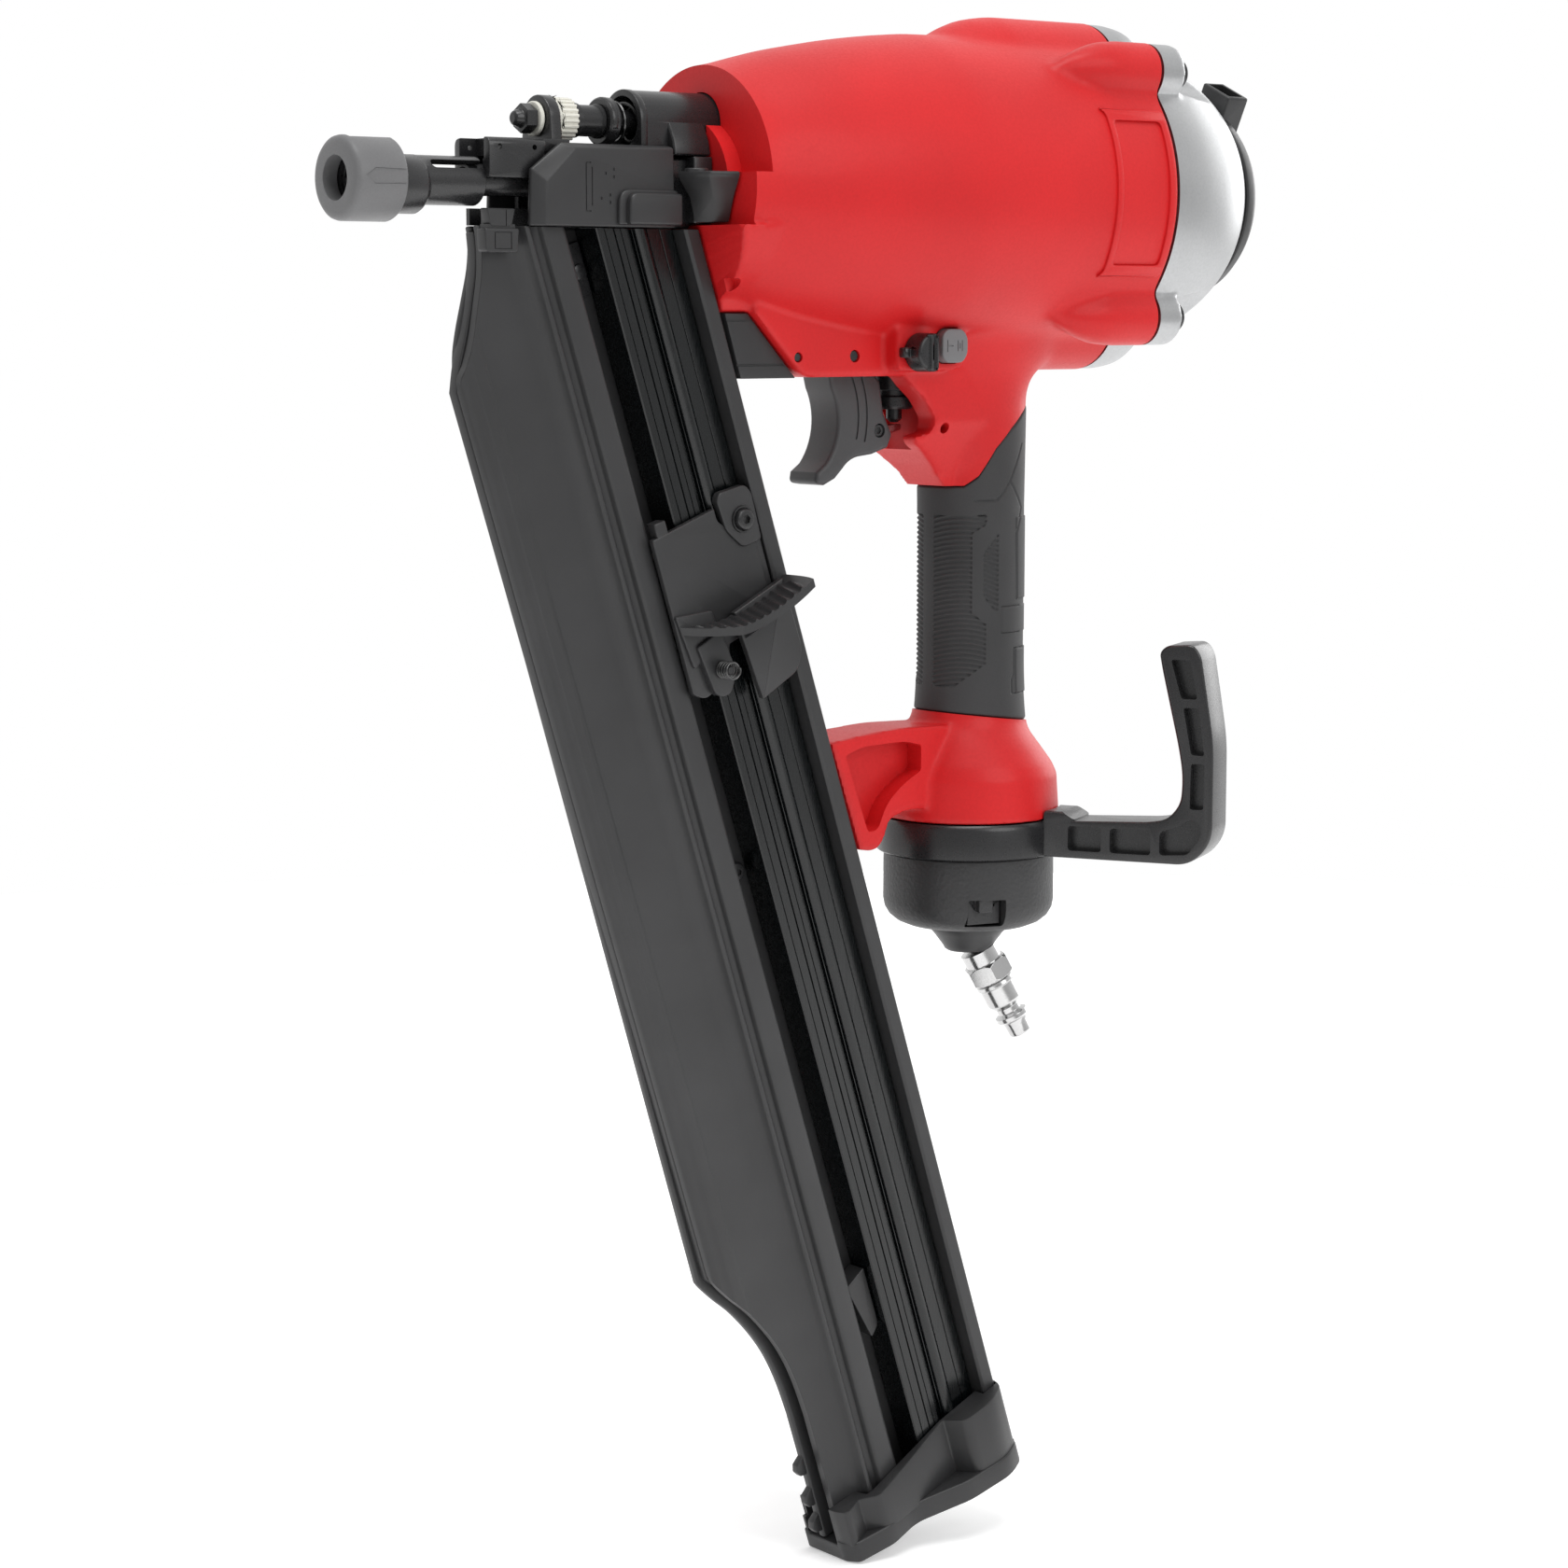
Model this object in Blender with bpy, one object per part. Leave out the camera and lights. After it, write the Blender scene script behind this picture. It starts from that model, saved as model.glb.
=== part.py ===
"""Pneumatic framing nailer, built as separate pieces.

The tool frame has its origin at the centre of the nose pad's front face, +X
towards the cap and +Z up. The magazine frame is the tool frame tipped about Y,
so that its own -Z runs down the magazine. Sizes are in millimetres, and
helpers turn them into metres.
"""
import math

import bmesh
import bpy
from mathutils import Matrix, Vector

MM = 0.001
GAP = 0.3                     # clearance between neighbouring pieces

# Placement of the tool frame in the world: the box rests on Z = 0, centred.
TOOL_OFFSET = (-176.5, 15.27, 450.47)

# Drive line
AXIS_Z = 1.6                  # height of the cylinder's axis over the pad's centre
DRIVER_R = 3.4
BORE_R = 4.2                  # nail bore in the nose

# Nose
PAD_R = 12.3
PAD_LENGTH = 17.7
TUBE_R = 7.2
TRIP_Z = 20.5                 # height of the depth screw's axis
SCREW_R = 2.5

# Casting
CAST_FRONT = 127.0
SEAM_X = 292.0
BARREL_R = 50.5
HANDLE_X = 246.0
GRIP_A = 19.0                 # grip's half depth along X
GRIP_B = 16.5                 # grip's half width along Y
BASE_Z = -204.0
LUG_Y = 31.5
LUG_Z = 40.0
LUG_R = 9.0

# Trigger
PIVOT_X = 181.0
PIVOT_Z = -50.5
KNOB_X = 201.6
KNOB_Y = -24.0                # near face of the selector's boss
KNOB_Z = -49.4
BUTTON_X = 214.2
BUTTON_Z = -47.4
VALVE_X = 212.0

# Magazine, in its own frame: q across it, s down it
LEAN = math.radians(18.0)
MAG_FRONT = 19.5
RAIL_IN = 53.0
RAIL_OUT = 67.0
TRACK_IN = 77.5
TRACK_OUT = 106.0
MAG_REAR = 112.0
MAG_END = 480.0
CAP_END = 486.0
NOSE_FLOOR = -11.4            # height at which the magazine meets the nose

# Hook and air inlet
HOOK_ANGLE = math.radians(-62.0)
HOOK_REACH = 87.2
PLUG_TILT = math.radians(27.5)
PLUG_TURN = math.radians(-30.0)


# ---------------------------------------------------------------- materials
def material(name, colour, roughness, metallic=0.0):
    made = bpy.data.materials.new(name)
    made.use_nodes = True
    shader = made.node_tree.nodes["Principled BSDF"]
    shader.inputs["Base Color"].default_value = (*colour, 1.0)
    shader.inputs["Roughness"].default_value = roughness
    shader.inputs["Metallic"].default_value = metallic
    made.diffuse_color = (*colour, 1.0)
    return made


FINISHES = {
    "red_enamel": ((0.60, 0.018, 0.02), 0.42, 0.0),
    "black_polymer": ((0.035, 0.036, 0.038), 0.45, 0.0),
    "black_anodised": ((0.006, 0.007, 0.009), 0.3, 0.3),
    "black_steel": ((0.02, 0.02, 0.022), 0.4, 0.6),
    "grip_rubber": ((0.04, 0.04, 0.042), 0.75, 0.0),
    "pad_rubber": ((0.16, 0.16, 0.165), 0.6, 0.0),
    "cast_aluminium": ((0.62, 0.63, 0.64), 0.35, 1.0),
    "steel": ((0.55, 0.55, 0.56), 0.25, 1.0),
    "spring_steel": ((0.12, 0.12, 0.12), 0.35, 1.0),
    "white_polymer": ((0.75, 0.74, 0.68), 0.5, 0.0),
    "grey_polymer": ((0.15, 0.15, 0.155), 0.5, 0.0),
    "seal_rubber": ((0.01, 0.01, 0.01), 0.7, 0.0),
}


# ---------------------------------------------------------------- mesh helpers
def tidy(mesh):
    bmesh.ops.remove_doubles(mesh, verts=mesh.verts, dist=1e-4)
    bmesh.ops.recalc_face_normals(mesh, faces=mesh.faces)
    return mesh


def loft(rings):
    """Skin a list of equal rings of points, and close both ends."""
    mesh = bmesh.new()
    rows = [[mesh.verts.new(point) for point in ring] for ring in rings]
    count = len(rows[0])
    for low, high in zip(rows, rows[1:]):
        for i in range(count):
            j = (i + 1) % count
            mesh.faces.new((low[i], low[j], high[j], high[i]))
    mesh.faces.new(rows[0][::-1])
    mesh.faces.new(rows[-1])
    return tidy(mesh)


def prism(outline, axis, low, high):
    """Extrude a flat outline along X, Y or Z.

    The outline's points are (y, z), (x, z) or (x, y).
    """
    def point(a, b, c):
        return {"X": (c, a, b), "Y": (a, c, b), "Z": (a, b, c)}[axis]

    return loft([[point(a, b, c) for a, b in outline] for c in (low, high)])


def block(low, high):
    outline = [(low[0], low[1]), (high[0], low[1]), (high[0], high[1]), (low[0], high[1])]
    return prism(outline, "Z", low[2], high[2])


def turned(profile, centre, direction=(1, 0, 0), steps=32):
    """Spin (along, radius) points round an axis through centre.

    A profile that starts and ends on the axis is left open there.
    """
    mesh = bmesh.new()
    points = [mesh.verts.new((radius, 0, along)) for along, radius in profile]
    pairs = list(zip(points, points[1:]))
    if profile[0][1] > 0 or profile[-1][1] > 0:
        pairs.append((points[-1], points[0]))
    edges = [mesh.edges.new(pair) for pair in pairs]
    bmesh.ops.spin(mesh, geom=points + edges, axis=(0, 0, 1), cent=(0, 0, 0),
                   angle=math.tau, steps=steps, use_merge=True)
    turn = Vector((0, 0, 1)).rotation_difference(Vector(direction)).to_matrix().to_4x4()
    bmesh.ops.transform(mesh, matrix=Matrix.Translation(centre) @ turn, verts=mesh.verts)
    return tidy(mesh)


def rod(start, length, radius, direction=(1, 0, 0), steps=20):
    return turned([(0, 0), (0, radius), (length, radius), (length, 0)], start, direction, steps)


def tube(start, length, outer, inner, direction=(1, 0, 0), steps=28):
    return turned([(0, inner), (0, outer), (length, outer), (length, inner)],
                  start, direction, steps)


def coil(centre, direction, length, radius, wire, turns, steps=8, sides=4):
    """A round wire wound on a cylinder, with cut ends."""
    rings = []
    count = int(turns * steps)
    for i in range(count + 1):
        angle = math.tau * i / steps
        out = Vector((math.cos(angle), math.sin(angle), 0))
        middle = out * radius + Vector((0, 0, wire + (length - 2 * wire) * i / count))
        ring = []
        for k in range(sides):
            turn = math.tau * k / sides
            ring.append(middle + (out * math.cos(turn) + Vector((0, 0, 1)) * math.sin(turn)) * wire)
        rings.append(ring)
    mesh = loft(rings)
    turn = Vector((0, 0, 1)).rotation_difference(Vector(direction)).to_matrix().to_4x4()
    bmesh.ops.transform(mesh, matrix=Matrix.Translation(centre) @ turn, verts=mesh.verts)
    return tidy(mesh)


def arc(cx, cy, radius, start, end, count):
    """Points on an arc, angles in degrees."""
    points = []
    for i in range(count):
        angle = math.radians(start + (end - start) * i / (count - 1))
        points.append((cx + radius * math.cos(angle), cy + radius * math.sin(angle)))
    return points


def ellipse_ring(z, centre_x, half_x, half_y, tilt=0.0, count=24):
    """A level ellipse whose height rises by tilt for each millimetre of X."""
    ring = []
    for i in range(count):
        angle = math.tau * i / count
        x = half_x * math.cos(angle)
        ring.append((centre_x + x, half_y * math.sin(angle), z + tilt * x))
    return ring


# ---------------------------------------------------------------- object helpers
def clear_scene():
    for thing in list(bpy.data.objects):
        bpy.data.objects.remove(thing)


def frame_empty(name, location=(0, 0, 0), parent=None, rotation=(0, 0, 0)):
    empty = bpy.data.objects.new(name, None)
    empty.location = Vector(location) * MM
    empty.rotation_euler = rotation
    empty.parent = parent
    bpy.context.scene.collection.objects.link(empty)
    return empty


def add_object(name, mesh, parent, origin):
    bmesh.ops.transform(mesh, matrix=Matrix.Scale(MM, 4) @ Matrix.Translation(-Vector(origin)),
                        verts=mesh.verts)
    data = bpy.data.meshes.new(name)
    mesh.to_mesh(data)
    mesh.free()
    thing = bpy.data.objects.new(name, data)
    thing.location = Vector(origin) * MM
    thing.parent = parent
    bpy.context.scene.collection.objects.link(thing)
    return thing


def boolean(piece, mesh, operation):
    """Join another mesh to a piece, or cut it out of it."""
    origin = piece.location / MM
    other = add_object(piece.name + "_tool", mesh, piece.parent, origin)
    other.hide_render = True
    other.display_type = "WIRE"
    modifier = piece.modifiers.new(operation.lower(), "BOOLEAN")
    modifier.operation = operation
    modifier.solver = "EXACT"
    modifier.object = other


def make(name, mesh, finish, parent, origin=(0, 0, 0), add=(), cut=()):
    """One piece: a first mesh, meshes joined to it and meshes cut out of it."""
    piece = add_object(name, mesh, parent, origin)
    for other in add:
        boolean(piece, other, "UNION")
    for other in cut:
        boolean(piece, other, "DIFFERENCE")
    piece.data.materials.append(MATERIALS[finish])
    piece.data.shade_smooth()
    piece.data.set_sharp_from_angle(angle=math.radians(35))
    return piece


# ---------------------------------------------------------------- shared outlines
def lug_places():
    return [(side * LUG_Y, AXIS_Z + level * LUG_Z) for side in (-1, 1) for level in (1, -1)]


def lobes(start, end):
    """The broad ribs on the top and bottom of the flange."""
    parts = []
    for level in (1, -1):
        centre = AXIS_Z + level * 37.5
        rings = []
        for x, radius in ((start, 11.0), (start + 8, 17.0), (start + 17, 20.0), (end, 20.0)):
            rings.append([(x, y, z) for y, z in arc(0, centre, radius, 0, 335, 15)])
        parts.append(loft(rings))
    return parts


def lugs(start, end):
    parts = []
    for y, z in lug_places():
        profile = [(0, 0), (0, LUG_R - 3), (2.5, LUG_R - 0.6), (5, LUG_R),
                   (end - start, LUG_R), (end - start, 0)]
        parts.append(turned(profile, (start, y, z), steps=12))
    return parts


def button_outline(grow=0.0):
    """The mode button's eight-sided outline."""
    corners = [(-5.2, -3.4), (-3.2, -5.4), (3.4, -5.4), (5.6, -2.6), (5.6, 2.8), (3.4, 5.4),
               (-3.2, 5.4), (-5.2, 3.4)]
    scale = 1 + grow / 5.0
    return [(BUTTON_X + a * scale, BUTTON_Z + b * scale) for a, b in corners]


def magazine_s(q, height=NOSE_FLOOR):
    """How far down the magazine a level line of the tool frame lies."""
    return (q * math.sin(LEAN) - height) / math.cos(LEAN)


# ---------------------------------------------------------------- casting
def build_housing(tool):
    profile = [(CAST_FRONT, 0), (CAST_FRONT, 30), (128.5, 33.6), (133, 37.6), (143, 41.2),
               (160, 45.2), (185, 49.0), (212, BARREL_R), (SEAM_X, BARREL_R), (SEAM_X, 0)]
    barrel = turned(profile, (0, 0, AXIS_Z), steps=32)
    outline = arc(0, AXIS_Z, 37, 199, 246, 7) + [(-12, -36.5), (12, -36.5)]
    outline += arc(0, AXIS_Z, 37, 294, 341, 7)
    rings = []
    for push in (0, 1):
        ring = []
        for y, z in outline:
            front = (MAG_REAR + 0.7 - z * math.sin(LEAN)) / math.cos(LEAN)
            ring.append((front if push == 0 else 145.0, y, z))
        rings.append(ring)
    keel = prism([(141, -24), (141, -37), (160.5, -57), (228, -57), (228, -24)], "Y", -17, 17)
    neck = loft([
        ellipse_ring(-36, 243, 44, 24), ellipse_ring(-48, 243, 39, 20.5),
        ellipse_ring(-56, 242, 32.5, 18.5, 0.08), ellipse_ring(-64, 242.5, 26, 17.4, 0.28),
        ellipse_ring(-72, 244, 21.6, 16.9, 0.48), ellipse_ring(-81, HANDLE_X, GRIP_A, GRIP_B, 0.58),
        ellipse_ring(-81, HANDLE_X, 14.5, 12, 0.58),
        ellipse_ring(-170.5, HANDLE_X, 14.5, 12, -0.13),
        ellipse_ring(-170.5, HANDLE_X, 20, 17.6, -0.13),
        ellipse_ring(-178, HANDLE_X, 22.4, 21, -0.08), ellipse_ring(-186, HANDLE_X, 26.6, 26),
        ellipse_ring(-194, HANDLE_X, 29.6, 29.4), ellipse_ring(BASE_Z, HANDLE_X, 30.3, 30.3),
        ellipse_ring(BASE_Z, HANDLE_X, 24, 24), ellipse_ring(-216, HANDLE_X, 24, 24)])
    bracket = prism([(228, -172), (208, -171.4), (192, -172.4), (176.6, -174.2), (188.9, -210),
                     (195.5, -211.2), (199.5, -207.5), (201.5, -201), (210, -198.7),
                     (228, -198.7)], "Y", -11, 11)
    bore = turned([(150, 0), (150, 35.5), (160, 39.5), (185, 43.6), (212, 46), (300, 46),
                   (300, 0)], (0, 0, AXIS_Z), steps=20)
    nose_hole = rod((100, 0, AXIS_Z), 60, 9.7, steps=24)
    trip_recess = prism(arc(0, TRIP_Z, 10.1, 0, 180, 11) + [(-10.1, 10.6), (10.1, 10.6)],
                        "X", 120, 142.6)
    air_way = turned([(-219, 0), (-219, 18), (-187, 18), (-187, 10.5), (-40, 10.5), (-40, 0)],
                     (HANDLE_X, 0, 0), (0, 0, 1), 20)
    trigger_slot = block((172, -8.3, -82), (219.4, 8.3, -47))
    pin_hole = rod((PIVOT_X, -18, PIVOT_Z), 36, 2.0, (0, 1, 0), 12)
    small_holes = [rod((220, -20, -74), 12, 1.8, (0, 1, 0), 10),
                   rod((KNOB_X, KNOB_Y - 4, KNOB_Z), 10, 3.4, (0, 1, 0), 12)]
    boss = block((193, KNOB_Y, -55.5), (222, -10, -40))
    button_pocket = prism(button_outline(0.35), "Y", KNOB_Y - 10, KNOB_Y + 3.4)
    guard_seat = prism([(125, -36.6), (140.5, -36.6), (160.3, -57.8), (160, -70), (125, -70)],
                       "Y", -14.3, 14.3)
    screw_holes = [rod((268, y, z), 30, 3.05, steps=14) for y, z in lug_places()]
    bracket_pocket = prism([(183.5, -181), (206, -178.5), (206, -190), (197, -196),
                            (192.5, -203), (191.5, -203)], "Y", -12, -3)
    make("housing", barrel, "red_enamel", tool,
         add=[loft(rings), keel, neck, bracket, boss] + lobes(228, SEAM_X) + lugs(262, SEAM_X),
         cut=[bore, nose_hole, trip_recess, air_way, trigger_slot, pin_hole, bracket_pocket,
              button_pocket, guard_seat]
         + small_holes + screw_holes)
    make("valve_pin", rod((220, -16, -74), 7.6, 1.5, (0, 1, 0), 10), "black_steel", tool)


def build_grip(tool):
    outer = [ellipse_ring(-81.4, HANDLE_X, GRIP_A, GRIP_B, 0.58),
             ellipse_ring(-105, HANDLE_X, GRIP_A - 0.3, GRIP_B - 0.3, 0.2),
             ellipse_ring(-140, HANDLE_X, GRIP_A - 0.2, GRIP_B - 0.2),
             ellipse_ring(-160, HANDLE_X, GRIP_A + 0.3, GRIP_B, -0.05),
             ellipse_ring(-170.2, HANDLE_X, 19.9, 17.5, -0.13)]
    hollow = [ellipse_ring(-60, HANDLE_X, 14.8, 12.3, 0.58),
              ellipse_ring(-190, HANDLE_X, 14.8, 12.3, -0.13)]
    make("grip_sleeve", loft(outer), "grip_rubber", tool, cut=[loft(hollow)])


# ---------------------------------------------------------------- cap end
def build_cap(tool):
    dome = [(293.3, 0), (293.3, 49.8), (303, 49.6), (311, 48.8), (320, 46.6), (328, 43.2),
            (335, 39.0), (339, 35.4), (341, 33.0), (341, 0)]
    hollow = [(290, 0), (290, 44), (318, 42), (328, 36), (333, 26), (333, 8), (345, 8), (345, 0)]
    cap_lugs = [rod((293.3, y, z), 10.7, LUG_R, steps=12) for y, z in lug_places()]
    cap_lobes = []
    for level in (1, -1):
        centre = AXIS_Z + level * 37.5
        rings = [[(x, y, z) for y, z in arc(0, centre, radius, 0, 335, 15)]
                 for x, radius in ((293.3, 19.8), (301, 19.0), (308, 14.0))]
        cap_lobes.append(loft(rings))
    seats = [(288, 0), (288, 3.0), (304, 3.0), (304, 6.2), (330, 6.2), (330, 0)]
    holes = [turned(seats, (0, y, z), steps=10) for y, z in lug_places()]
    make("cylinder_cap", turned(dome, (0, 0, AXIS_Z), steps=32), "cast_aluminium", tool,
         add=cap_lugs + cap_lobes, cut=[turned(hollow, (0, 0, AXIS_Z), steps=20)] + holes)

    make("cap_gasket", tube((SEAM_X + GAP, 0, AXIS_Z), 0.7, 47.3, 44.5, steps=24), "seal_rubber",
         tool)

    for number, (y, z) in enumerate(lug_places(), 1):
        profile = [(276, 0), (276, 2.6), (304.3, 2.6), (304.3, 4.6), (309, 4.6), (309.4, 4.2),
                   (309.4, 2.0), (306.5, 2.0), (306.5, 0)]
        make(f"cap_screw_{number}", turned(profile, (0, y, z), steps=10), "black_steel", tool)


def build_deflector(tool):
    axis = (341.3, 0, AXIS_Z)
    disc = turned([(0, 0), (0, 33.4), (4, 32.6), (7.5, 29.6), (9.6, 26), (9.6, 0)], axis, steps=32)
    turn = math.radians(25)
    duct = block((342.0, -6.8, 14), (351.6, 6.8, 40.5))
    place = Matrix.Translation((0, 0, AXIS_Z)) @ Matrix.Rotation(turn, 4, "X")
    bmesh.ops.transform(duct, matrix=place, verts=duct.verts)
    way = block((343.2, -4.9, 8), (349.7, 4.9, 50))
    bmesh.ops.transform(way, matrix=place, verts=way.verts)
    inlet = turned([(340, 0), (340, 12), (346, 12), (346, 2.6), (356, 2.6), (356, 0)],
                   (0, 0, AXIS_Z), steps=24)
    make("exhaust_deflector", disc, "black_polymer", tool, origin=axis, add=[duct],
         cut=[way, inlet])
    screw = turned([(345, 0), (345, 2.2), (351.4, 2.2), (351.4, 4.6), (353, 4.0), (353, 0)],
                   (0, 0, AXIS_Z), steps=16)
    make("deflector_screw", screw, "black_steel", tool)


# ---------------------------------------------------------------- motor
def build_motor(tool):
    line = (0, 0, AXIS_Z)
    make("cylinder_sleeve", tube((150.3, 0, AXIS_Z), 133.7, 27, 24, steps=32), "cast_aluminium",
         tool)
    make("sleeve_ring", tube((222, 0, AXIS_Z), 6, 45.0, 27.4, steps=24), "seal_rubber", tool)
    make("bumper", tube((150.4, 0, AXIS_Z), 10, 23.5, 8.5, steps=28), "seal_rubber", tool)
    piston = [(262, 3.7), (262, 9), (265, 11), (265, 23.6), (268, 23.6), (268, 21.2), (272, 21.2),
              (272, 23.6), (275, 23.6), (275, 12), (271.5, 8), (271.5, 3.7)]
    make("piston", turned(piston, line, steps=20), "cast_aluminium", tool, origin=line)
    seal = tube((268.3, 0, AXIS_Z), 3.4, 23.8, 21.5, steps=32)
    make("piston_seal", seal, "seal_rubber", tool, origin=line)
    make("driver_blade", rod((130, 0, AXIS_Z), 141, DRIVER_R, steps=16), "steel", tool,
         origin=line)
    valve = tube((284.4, 0, AXIS_Z), 7.4, 32, 13, steps=32)
    make("head_valve", valve, "black_polymer", tool, origin=line)
    spring = coil((292.2, 0, AXIS_Z), (1, 0, 0), 30, 19, 1.0, 3, 12)
    make("head_valve_spring", spring, "spring_steel", tool)


# ---------------------------------------------------------------- trigger
def build_trigger(tool):
    pivot = (PIVOT_X, 0, PIVOT_Z)
    outline = ([(176.6, -48.6), (186, -48.4), (195, -54), (200.6, -60), (201.8, -70), (206, -77),
                (201, -80.5)] + arc(192, -92.5, 10.5, 75, 130, 4) +
               [(181.5, -90.5), (176.5, -92.8), (173.2, -91.4), (175.5, -87)] +
               arc(161, -71, 21.5, -38, 28, 7))
    lever = prism(outline, "Y", -7.4, 7.4)
    slot = block((186, -3.2, -79), (215, 3.2, -52))
    pin_hole = rod((PIVOT_X, -18, PIVOT_Z), 36, 2.0, (0, 1, 0), 12)
    make("trigger", lever, "grey_polymer", tool, origin=pivot, cut=[slot, pin_hole])
    make("trigger_pin", rod((PIVOT_X, -16.4, PIVOT_Z), 32.8, 1.7, (0, 1, 0), 12), "black_steel",
         tool)
    arm = prism([(190, -74), (192, -77.6), (204, -77), (213, -74.6), (213, -72.8)], "Y", -2.6, 2.6)
    make("trigger_arm", arm, "steel", tool, origin=pivot)
    body = tube((VALVE_X, 0, -68), 19.7, 6.8, 3.0, (0, 0, 1), 24)
    make("trigger_valve_body", body, "black_polymer", tool)
    stem = turned([(0, 0), (0, 1.4), (1.2, 2.6), (14, 2.6), (14, 0)], (VALVE_X, 0, -72.3),
                  (0, 0, 1), 14)
    make("trigger_valve_stem", stem, "steel", tool, origin=(VALVE_X, 0, -72.3))


def build_controls(tool):
    knob_at = (KNOB_X, KNOB_Y - GAP, KNOB_Z)
    knob = turned([(-5.3, 0), (-5.3, 3.0), (0, 3.0), (0, 6.2), (6.5, 6.0), (7.4, 5.0), (7.4, 0)],
                  knob_at, (0, -1, 0), 20)
    flat = block((KNOB_X + 1.6, -40, -60), (KNOB_X + 9, KNOB_Y - 1.8, -40))
    tab = block((KNOB_X - 8.4, KNOB_Y - 3.2, KNOB_Z - 1.6),
                (KNOB_X - 4.6, KNOB_Y - GAP, KNOB_Z + 1.6))
    make("selector_knob", knob, "black_polymer", tool, origin=knob_at, add=[tab],
         cut=[flat])
    make("mode_button", prism(button_outline(), "Y", KNOB_Y - 3.4, KNOB_Y + 0.6),
         "grey_polymer", tool, origin=(BUTTON_X, KNOB_Y, BUTTON_Z))


# ---------------------------------------------------------------- nose
def build_nose(tool):
    guide = turned([(44, BORE_R), (44, 5.1), (70, 5.1), (70, BORE_R)], (0, 0, AXIS_Z), steps=24)
    slim = block((66, -5.3, -10.5), (86, 5.3, 7.4))
    wide = block((84.5, -9.6, -10.5), (121, 9.6, 9.6))
    flange = block((119.5, -13.8, -9.9), (126.7, 13.8, 10.3))
    bore = rod((60, 0, AXIS_Z), 80, BORE_R, steps=24)
    slot = block((40, -3.0, -12), (119, 3.0, AXIS_Z))
    make("nose_body", guide, "black_steel", tool, add=[slim, wide, flange],
         cut=[bore, slot])

    side = [(60, -10.6), (60, 4.6), (71.5, 13.2), (111.5, 13.2), (111.5, -10.6)]
    hump = [(92, -10.6), (92, -2.6), (94.5, -0.4), (112.6, -0.4), (112.6, -10.6)]
    make("nose_cover_near", prism(side, "Y", -14, -10), "black_polymer", tool,
         add=[prism(hump, "Y", -17.4, -13)])
    make("nose_cover_far", prism(side, "Y", 10, 14), "black_polymer", tool)

    wedge = [(113, -14.4), (118, -24.5), (126.2, -27.5), (126.2, -14.4)]
    make("side_bracket", prism(wedge, "Z", -9.6, 5.4), "black_polymer", tool)
    guard = [(130.9, -37), (140.0, -37), (159.4, -57.4), (137.5, -57.4)]
    make("lower_guard", prism(guard, "Y", -14, 14), "black_polymer", tool)

    outer = arc(0, TRIP_Z, 9.7, 0, 180, 13) + [(-9.7, 11), (9.7, 11)]
    bore = rod((95, 0, TRIP_Z), 44.5, 7.7, steps=24)
    make("trip_housing", prism(outer, "X", 103, 142.2), "black_steel", tool, cut=[bore])


def build_trip(tool):
    line = (0, 0, TRIP_Z)
    plunger = [(93.3, 0), (93.3, 7.2), (97.3, 7.2), (97.3, 3.6), (124, 3.6), (125, 2.6), (125, 0)]
    make("trip_plunger", turned(plunger, line, steps=24), "black_steel", tool,
         cut=[rod((90, 0, TRIP_Z), 6.3, SCREW_R + GAP, steps=16)])
    make("trip_bushing", tube((86.2, 0, TRIP_Z), 6.8, 5.2, SCREW_R + GAP, steps=20),
         "black_polymer", tool)
    spring = coil((97.7, 0, TRIP_Z), (1, 0, 0), 41, 5.7, 0.65, 8)
    make("trip_spring", spring, "spring_steel", tool)

    wheel = []
    teeth = 20
    for i in range(teeth * 2):
        angle = math.tau * i / (teeth * 2)
        radius = 7.9 if i % 2 else 7.2
        wheel.append((radius * math.cos(angle), TRIP_Z + radius * math.sin(angle)))
    make("depth_wheel", prism(wheel, "X", 78, 85.8), "white_polymer", tool, origin=line,
         cut=[rod((70, 0, TRIP_Z), 30, SCREW_R + GAP, steps=16)])

    make("depth_screw", rod((66, 0, TRIP_Z), 29.5, SCREW_R, steps=14), "steel", tool)
    nut = [(62.2, 0), (62.2, 1.6), (63, 2.6), (65.2, 2.8), (65.2, 5.4), (70.6, 5.4),
           (70.6, 3.4), (65.6, 3.4), (65.6, 0)]
    make("depth_nut", turned(nut, line, steps=6), "black_steel", tool)
    make("depth_washer", tube((70.9, 0, TRIP_Z), 1.2, 5.9, SCREW_R + GAP, steps=20),
         "white_polymer", tool)


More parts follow.
